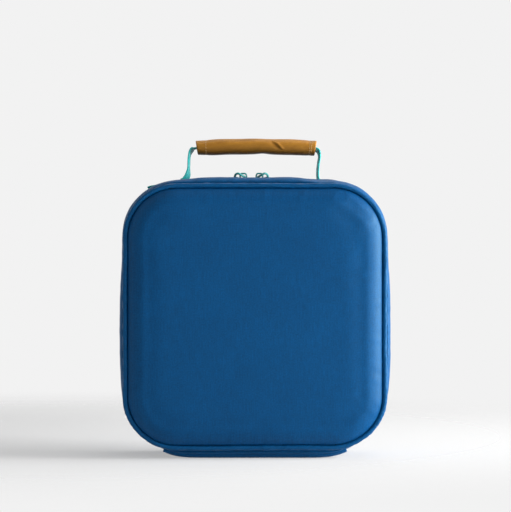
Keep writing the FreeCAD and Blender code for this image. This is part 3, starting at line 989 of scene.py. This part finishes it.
def zipper_tape(half, facing):
    """Tape carried round the shell from the hinge strip's one end to its other, as a thin closed section,
    with a thin edge that dips under the coil and meets the other half's edge there."""
    low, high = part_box(f"{half}_zipper_tape")
    turn = np.linspace(HINGE_TURN, 1 - HINGE_TURN, TAPE_COUNT)[None]
    along = np.linspace(0, ROUND, TAPE_COUNT)
    level = zipper_level(turn)
    section = rounded_section((high.y - low.y) / 2, TAPE_THICK / 2, 6, 20)
    points = carried(turn, TAPE_MIDDLE - section[:, 1:], (high.y + low.y) / 2 + section[:, :1], level)
    tape = tube(points, along, loop_length(section))
    away = np.linspace(TAPE_EDGE_START, TAPE_EDGE_GAP, TAPE_EDGE_ROWS)
    away = np.concatenate([away, away[::-1]])[:, None]
    inset = TAPE_MIDDLE + COIL_UNDER * (1 - smooth(away, *TAPE_EDGE_DIP))
    inset = inset + np.repeat([-TAPE_EDGE_HALF, TAPE_EDGE_HALF], TAPE_EDGE_ROWS)[:, None]
    points = carried(turn, inset, ZIPPER_Y + facing * away, level)
    edge = tube(points, along, loop_length(np.concatenate([away, inset], 1)))
    shape = combined([tape, edge])
    made = piece(f"{half}_tape", shape, TAPE_CLOTH, half, (f"{half}_zipper_tape",))
    outward_faces(made)


def zipper_coil(half, facing):
    """One row of coil: a flattened helix of filament that follows the zipper, half a turn out of step with
    the other row so that their loops lie between each other."""
    low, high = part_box(f"{half}_zipper_coil")
    middle = (high.y + low.y) / 2 - facing * COIL_REACH
    length = ROUND * (1 - 2 * HINGE_TURN)
    loops = int(length / COIL_PITCH)
    place = np.linspace(0, 1, loops * COIL_SAMPLES + 1)
    angle = TAU * (place * loops + (0.5 if facing > 0 else 0.0))
    turn = HINGE_TURN + place * (1 - 2 * HINGE_TURN)
    rise = zipper_level(turn) + COIL_HALF_HEIGHT * np.sin(angle)
    path = carried(turn, TAPE_MIDDLE, middle + COIL_HALF_WIDTH * np.cos(angle), rise)
    tangent = unit(np.gradient(path, axis=0))
    along_shell = np.cross(outward(turn), BACKWARDS)
    side = unit(np.cross(tangent, along_shell))
    section = rounded_section(COIL_WIRE, COIL_WIRE, 2, COIL_SIDES)
    shape = swept(path, side, section)
    piece(f"{half}_coil", shape, COIL_NYLON, half, (f"{half}_zipper_coil",))


for half, facing in (("lid", -1), ("body", 1)):
    zipper_tape(half, facing)
    zipper_coil(half, facing)

# Bottom: a separate panel under each half, and the hinge strip between them
BOTTOM_COUNT = 120
BOTTOM_ROWS = 14
BOTTOM_END = 0.5
BOTTOM_BACK = 0.05 * MM
BOTTOM_THIN = 0.97


def bottom_panel(half, facing):
    """A doubled bottom panel with rounded hems: a thin closed section that follows the shell's lower edge
    round both bottom corners. It thins towards its hems by the eighth power of the way there."""
    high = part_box(f"{half}_bottom_panel")[1]
    reach = (FLAT_X + SHELL_CORNER * math.asin((high.x - FLAT_X) / SHELL_CORNER)) / ROUND
    turn = np.linspace(-reach, reach, BOTTOM_COUNT)
    near = facing * (LID_EDGE if facing < 0 else BODY_EDGE)
    lower = np.linspace(near, SEAM_Y - EDGE_ROUND * BOTTOM_END, BOTTOM_ROWS)
    thick = BOTTOM_PANEL * np.sqrt(1 - BOTTOM_THIN * np.linspace(-1, 1, BOTTOM_ROWS) ** 8)
    depth = np.concatenate([lower, lower[::-1]])
    radius = EDGE_ROUND + np.concatenate([thick, np.full(BOTTOM_ROWS, BOTTOM_BACK)])
    beyond = np.maximum(depth - (SEAM_Y - EDGE_ROUND), 0)
    section = np.stack([facing * depth, EDGE_ROUND - np.sqrt(radius ** 2 - beyond ** 2)], 1)
    points = carried(turn[None], section[:, 1:], section[:, :1])
    points[..., 2] = np.maximum(points[..., 2], 0.0)
    shape = tube(points, turn * ROUND, loop_length(section))
    shape = shape if facing < 0 else flipped(shape)
    piece(f"{half}_bottom", shape, GUSSET_CLOTH, half, (f"{half}_bottom_panel",))


bottom_panel("lid", -1)
bottom_panel("body", 1)

STRIP_ROWS = 33
STRIP_COLUMNS = 41


def hinge_strip():
    """A flat strip of doubled cloth along the hinge line: two faces of a closed section."""
    depth = np.linspace(hinge_low.y, hinge_high.y, STRIP_ROWS)
    depth = np.concatenate([depth, depth[::-1]])
    level = np.repeat([hinge_low.z, hinge_high.z], STRIP_ROWS)
    x = np.linspace(hinge_low.x, hinge_high.x, STRIP_COLUMNS)
    points = np.stack(np.broadcast_arrays(x[None], depth[:, None], level[:, None]), -1)
    shape = tube(points, x, loop_length(points[:, 0, 1:]))
    made = piece("hinge_cloth", shape, GUSSET_CLOTH, None, ("hinge_strip",))
    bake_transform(made)


hinge_strip()

# Inside: film lining on the panels and the gusset, and tape bound over the seams
LINING_COUNT = 300
FILM = 0.3 * MM
FILM_ROUND = 3 * MM
FILM_GAP = 0.4 * MM
FILM_SEAM = EDGE_ROUND + 5 * MM
FILM_RIPPLE = [(0.25 * MM, 23, 0.3), (0.2 * MM, 41, 0.7), (0.15 * MM, 66, 0.1)]
FILM_SHARE = 0.985
FILM_BEHIND = 0.65 * MM
CRINKLE = 0.25 * MM
BINDING = 3 * MM
BINDING_WAVES = [(0.15 * MM, 47, 0.2), (0.15 * MM, 71, 0.6)]


def thicken(made):
    """Gives a sheet of film its thickness behind its face."""
    solid = made.modifiers.new("thickness", "SOLIDIFY")
    solid.thickness = FILM
    solid.offset = -1.0


def gusset_lining(half, facing):
    """Film inside the gusset: from the bound seam, round the inside edge, along the wall and up to the
    zipper tape."""
    low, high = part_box(f"{half}_gusset_lining")
    wall = HALF_WIDTH - high.x + FILM
    seam_depth = max(abs(low.y), abs(high.y)) - FILM
    turn_depth = facing * (high.y if facing < 0 else low.y)
    top = TAPE_INSET + TAPE_THICK + FILM_GAP
    bend = np.linspace(0, TAU / 4, 6)
    inset = np.concatenate([
        np.linspace(FILM_SEAM, wall + FILM_ROUND, 6)[:-1],
        wall + FILM_ROUND * (1 - np.sin(bend)),
        np.full(10, wall),
        np.linspace(wall, top, 7)[1:],
    ])[:, None]
    depth = np.concatenate([
        np.full(5, seam_depth),
        seam_depth - FILM_ROUND + FILM_ROUND * np.cos(bend),
        np.linspace(seam_depth - FILM_ROUND, turn_depth, 12)[1:-1],
        np.full(6, turn_depth),
    ])[:, None]
    turn = ring_turns(LINING_COUNT)
    ripple = waves(turn, FILM_RIPPLE) * (np.abs(inset - wall) < FILM_ROUND)
    hug = 1 - smooth(inset, wall, FILM_SEAM)
    points = carried(turn, inset + ripple, facing * depth, hug=hug)
    across = steps_length(np.concatenate([inset, depth], 1))
    shape = patch(points, ring_lengths(LINING_COUNT), across, loop_along=True)
    shape = flipped(shape) if facing < 0 else shape
    made = piece(f"{half}_wall_film", shape, LINING_FILM, half, (f"{half}_gusset_lining",))
    thicken(made)


def panel_lining(side, facing, body):
    """Film on the inside of a panel, loose enough to crinkle a little."""
    x, z = (grid[::2, ::2] * FILM_SHARE for grid in panel_grid())
    crinkle = np.sin(x / (19 * MM) + 2 * np.sin(z / (31 * MM)))
    crinkle = crinkle * np.sin(z / (23 * MM) + 1.3 * np.sin(x / (27 * MM)))
    points = np.stack([x, facing * (SEAM_Y - FILM_BEHIND + CRINKLE * crinkle), CENTRE_Z + z], -1)
    shape = patch(points, x[len(x) // 2], z[:, 0])
    shape = flipped(shape) if facing < 0 else shape
    made = piece(f"{side}_film", shape, LINING_FILM, body, (f"{side}_panel_lining",))
    thicken(made)


def seam_binding(half):
    """Bound tape over the raw seam: a rounded band carried round the inside of the seam."""
    low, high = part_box(f"{half}_seam_binding")
    section = rounded_section((high.y - low.y) / 2, BINDING / 2, 4, 20)
    turn = ring_turns(LINING_COUNT)
    inset = HALF_WIDTH - high.x + BINDING / 2 - section[:, 1:] + waves(turn, BINDING_WAVES)
    points = carried(turn, inset, (high.y + low.y) / 2 + section[:, :1], hug=0.0)
    shape = patch(points, ring_lengths(LINING_COUNT), loop_length(section), True, True)
    piece(f"{half}_binding", flipped(shape), BINDING_CLOTH, half, (f"{half}_seam_binding",))


for half, side, facing in (("lid", "front", -1), ("body", "back", 1)):
    gusset_lining(half, facing)
    panel_lining(side, facing, half)
    seam_binding(half)

# Sliders and their pull cords
SLIDER_WAIST = 0.72
PLATE = 1.2 * MM
PLATE_ROUND = 0.45 * MM
PLATE_SIDES = 40
PLATE_LIFT = 0.2 * MM
POST_COUNT = 4
BRIDGE_COUNT = 40
BRIDGE_FOOT = 2.8 * MM
BRIDGE_BEND = 0.72 * BRIDGE_FOOT
CORD_ROUTE = [
    (0.0, 1.8, -2.3), (0.1, -2.2, -2.3), (2.0, -3.6, -1.6), (4.4, -3.8, 0.2), (6.8, -2.8, -0.6),
    (8.0, 0.0, -3.2), (6.6, 4.6, -3.6), (4.6, 9.6, -3.9), (3.4, 14.2, -4.0), (2.2, 18.8, -4.0),
    (-2.0, 19.4, -4.0), (-3.4, 14.7, -4.0), (-2.6, 9.8, -3.9), (-1.0, 5.6, -2.6), (0.0, 2.0, -2.3),
]
CORD_DIAMETER = 2 * MM
BAR_HALF = 0.8 * MM


def slider_plate(centre_x, low, high, half_length, half_width, nose):
    """A plate with a wide nose and a narrow tail and rounded edges: its outline stacked in rings that draw
    in at the top and the bottom, closed by flat faces."""
    flat = rounded_section(half_length, half_width, 3.2, PLATE_SIDES)
    wider = smooth(flat[:, 0] * nose, -half_length, half_length * 0.4)
    narrow = SLIDER_WAIST + (1 - SLIDER_WAIST) * wider
    edge = np.linspace(0, TAU / 4, 5)
    rising = PLATE_ROUND * (1 - np.sin(edge))
    easing = PLATE_ROUND * (1 - np.cos(edge))
    draw = np.concatenate([rising, easing])
    level = np.concatenate([low + easing, high - rising])
    along = centre_x + flat[:, :1] * (1 - draw / half_length)
    across = ZIPPER_Y + (flat[:, 1] * narrow)[:, None] * (1 - draw / half_width)
    points = np.stack(np.broadcast_arrays(along, across, level), -1)
    return tube(points, level, np.arange(PLATE_SIDES + 1) / PLATE_SIDES * TAU * half_width)


def slider(side, nose):
    """A zipper slider: two plates, the post between them and the bridge that the pull cord goes through."""
    low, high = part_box(f"{side}_slider_casting")
    centre_x = (low.x + high.x) / 2
    half_length = (high.x - low.x) / 2
    half_width = (high.y - low.y) / 2
    upper = TOP_Z + PLATE_LIFT
    shapes = [
        slider_plate(centre_x, bottom, bottom + PLATE, half_length, half_width, nose)
        for bottom in (upper, low.z)
    ]
    post = np.tile([centre_x, ZIPPER_Y, 0.0], (POST_COUNT, 1))
    post[:, 2] = np.linspace(low.z + PLATE / 2, upper + PLATE / 2, POST_COUNT)
    post_side = np.tile([1.0, 0.0, 0.0], (POST_COUNT, 1))
    shapes.append(swept(post, post_side, rounded_section(1.5 * MM, 0.4 * MM, 4, 12)))
    crown = high.z - BAR_HALF
    leg = np.array([
        (BRIDGE_FOOT, upper + PLATE * 0.6),
        (BRIDGE_FOOT, crown - 1.6 * MM),
        (BRIDGE_BEND, crown - 0.25 * MM),
    ])
    line = through(np.vstack([leg * (-1, 1), (0.0, crown), leg[::-1]]), BRIDGE_COUNT)
    bridge = np.stack([centre_x + line[:, 0], np.full(BRIDGE_COUNT, ZIPPER_Y), line[:, 1]], 1)
    bridge_side = np.tile(BACKWARDS, (BRIDGE_COUNT, 1))
    shapes.append(swept(bridge, bridge_side, rounded_section(BAR_HALF, BAR_HALF * 0.9, 3, 14)))
    made = piece(f"{side}_slider_body", combined(shapes), TEAL_PAINT, f"{side}_slider",
                 (f"{side}_slider_casting",))
    outward_faces(made)


def pull_cord(side, turned):
    """The cord loop on a slider's bar, as a smooth line controlled by the route's points, which are in
    millimetres from the bar."""
    low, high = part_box(f"{side}_slider_casting")
    bar = np.array([(low.x + high.x) / 2, ZIPPER_Y, high.z - BAR_HALF])
    points = bar + np.array(CORD_ROUTE) * MM * np.array([turned, 1, 1])
    curve = bpy.data.curves.new(f"{side}_cord", "CURVE")
    curve.dimensions = "3D"
    spline = curve.splines.new("NURBS")
    spline.points.add(len(points) - 1)
    spline.points.foreach_set("co", np.hstack([points, np.ones((len(points), 1))]).ravel())
    spline.order_u = 3
    spline.use_endpoint_u = True
    spline.resolution_u = 12
    curve.bevel_depth = CORD_DIAMETER / 2
    curve.bevel_resolution = 5
    curve.use_fill_caps = True
    curve.materials.append(TEAL_CORD)
    made = bpy.data.objects.new(f"{side}_cord", curve)
    bpy.context.scene.collection.objects.link(made)
    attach(made, f"{side}_pull")
    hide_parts(f"{side}_pull_cord")


slider("left", 1)
slider("right", -1)
pull_cord("left", -1)
pull_cord("right", 1)

# Carry handle: one strap from sewn end to sewn end, and the wrapped grip
grip_low, grip_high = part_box("handle_grip")
STRAP_HALF_WIDTH = (strap_high.y - strap_low.y) / 2
STRAP_HALF = 0.8 * MM
STRAP_COUNT = 420
SEWN_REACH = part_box("right_strap_end")[1].x
GRIP_Z = (grip_low.z + grip_high.z) / 2
GRIP_HALF_HEIGHT = (grip_high.z - grip_low.z) / 2
GRIP_HALF_DEPTH = (grip_high.y - grip_low.y) / 2
FOOT_SHARE = 0.04
SEWN_LIFT = 1.8 * MM
LEFT_TWIST = 0.05
RIGHT_TWIST = 0.06
FOOT_TWIST = 0.16
BEND_TWIST = 0.08
SEWN_COUNT = 25

# The strap's line between its sewn ends, as X and Z in millimetres: the legs from the shell's top, and
# the part inside the grip from the grip's middle
LEFT_LEG = [
    (-66.4, -0.6), (-63.4, 1.1), (-61.5, 3.9), (-60.6, 8.0),
    (-60.2, 13.8), (-59.9, 20.2), (-58.9, 25.0), (-56.8, 28.2),
]
IN_GRIP = [(-52.0, -1.9), (-40.0, 0.0), (0.0, 0.0), (42.0, -0.4), (53.6, -2.4)]
RIGHT_LEG = [
    (57.4, 26.4), (58.5, 22.2), (57.8, 16.5), (57.1, 10.8), (56.9, 5.4),
    (57.1, 2.4), (58.0, 0.2), (60.0, -1.2), (63.0, -1.6),
]
STRAP_PARTS = ((LEFT_LEG, TOP_Z), (IN_GRIP, GRIP_Z), (RIGHT_LEG, TOP_Z))


def sewn_turns(side, count):
    """Turns from the tip of a sewn end to the leg's foot, along a top corner of the shell."""
    tip = math.asin((SEWN_REACH - FLAT_X) / (SHELL_CORNER + STRAP_HALF)) / (TAU / 4)
    share = np.linspace(tip, FOOT_SHARE, count)
    start, end = (KNOT[4], KNOT[3]) if side > 0 else (KNOT[5], KNOT[6])
    return start + (end - start) * share


def sewn_line(side, count, lift):
    """X and Z of a sewn end from its tip to the leg's foot: it follows the shell's top corner, just over
    half a strap's thickness above the sunk cloth, and lifts off towards its tip."""
    rise = lift * np.cos(np.linspace(0, TAU / 4, count)) ** 8
    return np.stack(outline(sewn_turns(side, count), SEWN_SINK - STRAP_HALF - 0.1 * MM, rise), 1)


def strap_path():
    """The strap's line in X and Z: sewn end, leg, grip, leg and sewn end, with soft bends."""
    left = sewn_line(-1, SEWN_COUNT, SEWN_LIFT)
    right = sewn_line(1, SEWN_COUNT, 0.0)[::-1]
    middle = [np.array(part) * MM + (0.0, level) for part, level in STRAP_PARTS]
    return through(np.vstack([left, *middle, right]), STRAP_COUNT)


def strap():
    """Webbing carried along its path: a flat section with rounded edges, twisted a little in the legs."""
    line = strap_path()
    x, z = line.T
    path = np.stack([x, np.full(STRAP_COUNT, STRAP_Y), z], 1)
    section = rounded_section(STRAP_HALF_WIDTH, STRAP_HALF, 5, 36)
    tangent = unit(np.gradient(path, axis=0))
    low = 1 - smooth(z, TOP_Z + 3 * MM, TOP_Z + 12 * MM)
    high = smooth(z, TOP_Z + 22 * MM, TOP_Z + 28 * MM)
    twist = np.where(x < 0, LEFT_TWIST + FOOT_TWIST * low, RIGHT_TWIST) + BEND_TWIST * high
    twist = twist * smooth(np.abs(x), 50 * MM, 54 * MM) * smooth(np.abs(tangent[:, 2]), 0.15, 0.6)
    lift = np.cross(BACKWARDS, tangent)
    side = unit(np.cos(twist)[:, None] * BACKWARDS + np.sin(twist)[:, None] * lift)
    shape = swept(path, side, section)
    nodes = ("handle_webbing", "left_strap_end", "right_strap_end")
    made = piece("handle_strap", shape, TEAL_WEBBING, None, nodes)
    outward_faces(made)
    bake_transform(made)


BOX_COUNT = 60
BOX_TIP = 3 * MM
BOX_FOOT = 6 * MM
BOX_MARGIN = 2.6 * MM
BOX_SEAMS = [(0, 1), (1, 2), (2, 3), (3, 0), (0, 2), (3, 1)]


def sewn_box(side):
    """The stitched box with a cross that holds a sewn end down: six seams between four corners."""
    line = sewn_line(side, BOX_COUNT, 0.0)
    lengths = steps_length(line)
    near = lengths[-1] - BOX_FOOT
    wide = STRAP_HALF_WIDTH - BOX_MARGIN
    corners = np.array([(BOX_TIP, -wide), (near, -wide), (near, wide), (BOX_TIP, wide)])
    share = np.linspace(0, 1, 24)[:, None]
    rows = []
    for first, last in BOX_SEAMS:
        along, across = (corners[first] + (corners[last] - corners[first]) * share).T
        x = np.interp(along, lengths, line[:, 0])
        z = np.interp(along, lengths, line[:, 1])
        normal = outward(np.interp(along, lengths, sewn_turns(side, BOX_COUNT)))
        path = np.stack([x, STRAP_Y + across, z], 1) + normal * STRAP_HALF
        rows.append(stitches(path, normal, *BOX_STITCH))
    name = "left" if side < 0 else "right"
    piece(f"{name}_sewn_box", combined(rows), TEAL_THREAD, "body")


GRIP_LEFT = -53.6 * MM
GRIP_RIGHT = 55.6 * MM
GRIP_COLUMNS = 150
GRIP_SIDES = 64
GRIP_SLANT = 1.1 * MM
GRIP_DROOP = 1.8 * MM
GRIP_SAG = 0.8 * MM
GRIP_STITCH = (-44.5 * MM, 50.0 * MM)
SECOND_ROW = 1.9 * MM
STITCH_WIDE = 2 * MM
FOLD_X = 21.8 * MM
FOLD_SLANT = 8.9 * MM
FOLD_SCALE = FOLD_X / math.hypot(FOLD_X, FOLD_SLANT * 2)
FOLD_BULGE = 0.8 * MM
FOLD_CREASE = 0.75 * MM
GRIP_FOLDS = 0.25 * MM
SEAM_DEEP = 0.4 * MM
GAPE_DEEP = 0.7 * MM
GAPE_X = 7 * MM
GAPE_WIDE = 5 * MM
GRIP_POWER = 2 / 2.3
WRAP = 1.1 * MM
WRAP_RINGS = np.array([0.25, 0.6, 1.0, 1.05])
WRAP_SHIFTS = np.array([-0.35, -0.45, 0.0, 5.0]) * MM


def grip_surface(along, angle):
    """The wrap's outer face: an oval that is fuller in the middle and bowed up, flat where it is sewn at
    the ends, with a slanted crease, a soft bulge beside it, and a seam under it that gapes a little."""
    x = GRIP_LEFT + (GRIP_RIGHT - GRIP_LEFT) * along
    bow = 1 - (2 * along - 1) ** 2
    full = 1.03 + 0.09 * smooth(bow, 0.0, 0.6) + 0.02 * smooth(along, 0.6, 1.0)
    sewn = sum(np.exp(-(((x - place) / STITCH_WIDE) ** 2)) for place in GRIP_STITCH)
    up = np.sin(angle)
    front = np.cos(angle)
    height = GRIP_HALF_HEIGHT * full * (1 - 0.035 * sewn)
    depth = GRIP_HALF_DEPTH * (0.94 + 0.06 * bow)
    from_fold = (x - FOLD_X + up * FOLD_SLANT) * FOLD_SCALE
    on_face = smooth(up, -0.55, 0.05) * (1 - smooth(up, 0.15, 0.8)) * (front > 0)
    bulge = np.exp(-(((from_fold - 0.8 * MM) / (1.3 * MM)) ** 2)) * on_face
    hollow = np.where(from_fold < -1 * MM, 2.8 * MM, 0.9 * MM)
    crease = np.exp(-(((from_fold + 1 * MM) / hollow) ** 2)) * on_face
    folds = np.sin(x / (7.1 * MM) + 2.3 * up) * np.sin(x / (17 * MM) + 1.0)
    seam = np.exp(-(((up + 1) / 0.05) ** 2))
    gape = np.exp(-(((x - GAPE_X) / GAPE_WIDE) ** 2)) * smooth(-up, 0.7, 1.0)
    push = FOLD_BULGE * bulge - FOLD_CREASE * crease + GRIP_FOLDS * folds
    push = push - SEAM_DEEP * seam - GAPE_DEEP * gape
    y = -np.sign(front) * np.abs(front) ** GRIP_POWER * (depth + push)
    z = np.sign(up) * np.abs(up) ** GRIP_POWER * (height + push)
    slant = GRIP_SLANT * (1 - up) * (1 - smooth(along, 0.0, 0.1) - smooth(along, 0.9, 1.0))
    droop = GRIP_SAG * bow + GRIP_DROOP * (1 - bow) * (1 + 0.3 * along)
    return np.stack([x + slant, STRAP_Y + y, GRIP_Z - droop + z], -1)


def grip():
    """The wrapped grip: its outer face, rounded ends and a short inner wall round the strap."""
    along = np.linspace(0, 1, GRIP_COLUMNS)[None]
    angle = (np.arange(GRIP_SIDES) / GRIP_SIDES * TAU + TAU / 4)[:, None]
    outer = grip_surface(along, angle)
    scale = 1 - WRAP / GRIP_HALF_HEIGHT * WRAP_RINGS
    ends = []
    for column, inward in ((0, 1), (-1, -1)):
        centre = outer[:, column].mean(0)
        ring = centre + (outer[:, column] - centre)[:, None] * scale[:, None]
        ring[..., 0] += WRAP_SHIFTS * inward
        ends.append(ring)
    points = np.concatenate([ends[0][:, ::-1], outer, ends[1]], 1)
    around = np.arange(GRIP_SIDES + 1) / GRIP_SIDES * WRAP_ROUND
    shape = tube(points, steps_length(points.mean(0)), around)
    made = piece("handle_wrap", shape, TAN_WRAP, "handle", ("handle_grip", "grip_padding"))
    outward_faces(made)
    rows = []
    angle = np.linspace(-0.23, 0.73, 120)[:, None] * TAU
    for place in (*GRIP_STITCH, GRIP_STITCH[1] + SECOND_ROW):
        share = np.array([[(place - GRIP_LEFT) / (GRIP_RIGHT - GRIP_LEFT)]])
        path = grip_surface(share, angle)[:, 0]
        rows.append(stitches(path, unit(path - path.mean(0)), *WRAP_STITCH))
    piece("grip_stitching", combined(rows), PALE_THREAD, "handle")


strap()
sewn_box(-1)
sewn_box(1)
grip()

# Stage: pale floor and backdrop, soft light and the photograph's camera
PAPER = (0.78, 0.78, 0.78)
PAPER_NEAR = 0.3
FLOOR_GAP = 0.3 * MM
PAPER_CENTRE = (-0.22, 0.25)
PAPER_FADE = (0.12, 0.75)
PAPER_FAR = colour(242, 242, 242)
SURROUND = 0.29
SWEEP_START = 1.3
SWEEP_RADIUS = 0.7
STAGE_FRONT = -4.0
STAGE_HALF = 5.0
WALL_TOP = 4.0
SEEN_RAYS = ("Is Camera Ray", "Is Glossy Ray", "Is Transmission Ray")


def stage_finish():
    """Pale seamless paper. Near the object it is lit and shaded like anything else, and away from it, it
    fades into the even surroundings, so that a part which swings below the floor still shows. Light that is
    on its way to such a part goes through the paper."""
    finish = Finish("pale_paper")
    finish.set(Base_Color=(*PAPER, 1), Roughness=0.9, Specular_IOR_Level=0.1)
    x, y = finish.parts(finish.place())[:2]
    inputs = {0: finish.joined(x - PAPER_CENTRE[0], y - PAPER_CENTRE[1])}
    away = finish.node("ShaderNodeVectorMath", {"operation": "LENGTH"}, inputs, "Value")
    inputs = {"Value": away, "From Min": PAPER_FADE[0], "From Max": PAPER_FADE[1], "To Min": PAPER_NEAR}
    fade = finish.node("ShaderNodeMapRange", {"interpolation_type": "SMOOTHSTEP"}, inputs)
    clear = finish.node("ShaderNodeBsdfTransparent", {}, {})
    shader = Value(finish, finish.shader.outputs[0])
    share = (fade * finish.rays(*SEEN_RAYS) + finish.rays("Is Shadow Ray")).kept()
    mixed = finish.node("ShaderNodeMixShader", {}, {0: share, 1: shader, 2: clear})
    finish.show(mixed, "Material Output")
    return finish.material


def backdrop():
    """A floor that sweeps up into a wall behind the object: a line in Y and Z, carried along X."""
    bend = np.linspace(0, TAU / 4, 24)
    wall = SWEEP_START + SWEEP_RADIUS
    y = np.concatenate([[STAGE_FRONT, -1.0], SWEEP_START + SWEEP_RADIUS * np.sin(bend), [wall]])
    z = np.concatenate([[0.0, 0.0], SWEEP_RADIUS * (1 - np.cos(bend)), [WALL_TOP]]) - FLOOR_GAP
    x = np.linspace(-STAGE_HALF, STAGE_HALF, 3)
    points = np.stack(np.broadcast_arrays(x[None], y[:, None], z[:, None]), -1)
    made = piece("backdrop", patch(points, x, np.arange(len(y))), stage_finish())


def area_light(name, place, target, width, height, power):
    """An upright soft light that faces a target."""
    lamp = bpy.data.lights.new(name, "AREA")
    lamp.shape = "RECTANGLE"
    lamp.size = width
    lamp.size_y = height
    lamp.energy = power
    made = bpy.data.objects.new(name, lamp)
    bpy.context.scene.collection.objects.link(made)
    direction = np.array(target) - np.array(place)
    made.location = place
    made.rotation_euler = (
        math.atan2(math.hypot(direction[0], direction[1]), -direction[2]),
        0.0,
        math.atan2(direction[1], direction[0]) - TAU / 4,
    )


def surroundings():
    """Even pale light from all round, seen at the paper's own brightness."""
    world = bpy.data.worlds.new("studio")
    bpy.context.scene.world = world
    nodes = Nodes(world)
    nodes.tree.nodes.remove(nodes.tree.nodes["Background"])
    lit = nodes.node("ShaderNodeBackground", {}, {"Color": (1, 1, 1, 1), "Strength": SURROUND})
    shown = nodes.node("ShaderNodeBackground", {}, {"Color": (*PAPER_FAR, 1)})
    mixed = nodes.node("ShaderNodeMixShader", {}, {0: nodes.rays(*SEEN_RAYS), 1: lit, 2: shown})
    nodes.show(mixed, "World Output")


def camera():
    """The photograph's camera: level, straight in front, framed by a pixel's size in the seam plane."""
    data = bpy.data.cameras.new("camera")
    data.sensor_fit = "HORIZONTAL"
    data.sensor_width = 36.0
    data.lens = data.sensor_width * CAMERA_DISTANCE / (PHOTO_WIDTH * PIXEL)
    made = bpy.data.objects.new("camera", data)
    bpy.context.scene.collection.objects.link(made)
    height = (FLOOR_PIXEL_Y - PHOTO_HEIGHT / 2) * PIXEL + CAMERA_RISE
    across = (PHOTO_WIDTH / 2 - CENTRE_PIXEL_X) * PIXEL
    made.location = (across, -SEAM_Y - CAMERA_DISTANCE, height)
    made.rotation_euler = (TAU / 4, 0, 0)
    bpy.context.scene.camera = made


backdrop()
area_light("key", (1.08, -0.15, 0.36), (0, 0, 0.12), 0.6, 0.6, 30)
area_light("fill", (1.2, -1.1, 0.6), (0, 0, 0.12), 1.2, 0.8, 7)
area_light("top", (0.3, 0.45, 1.2), (0, 0, 0.2), 0.8, 0.5, 3.5)
surroundings()
camera()
bpy.context.scene.view_settings.view_transform = "Standard"
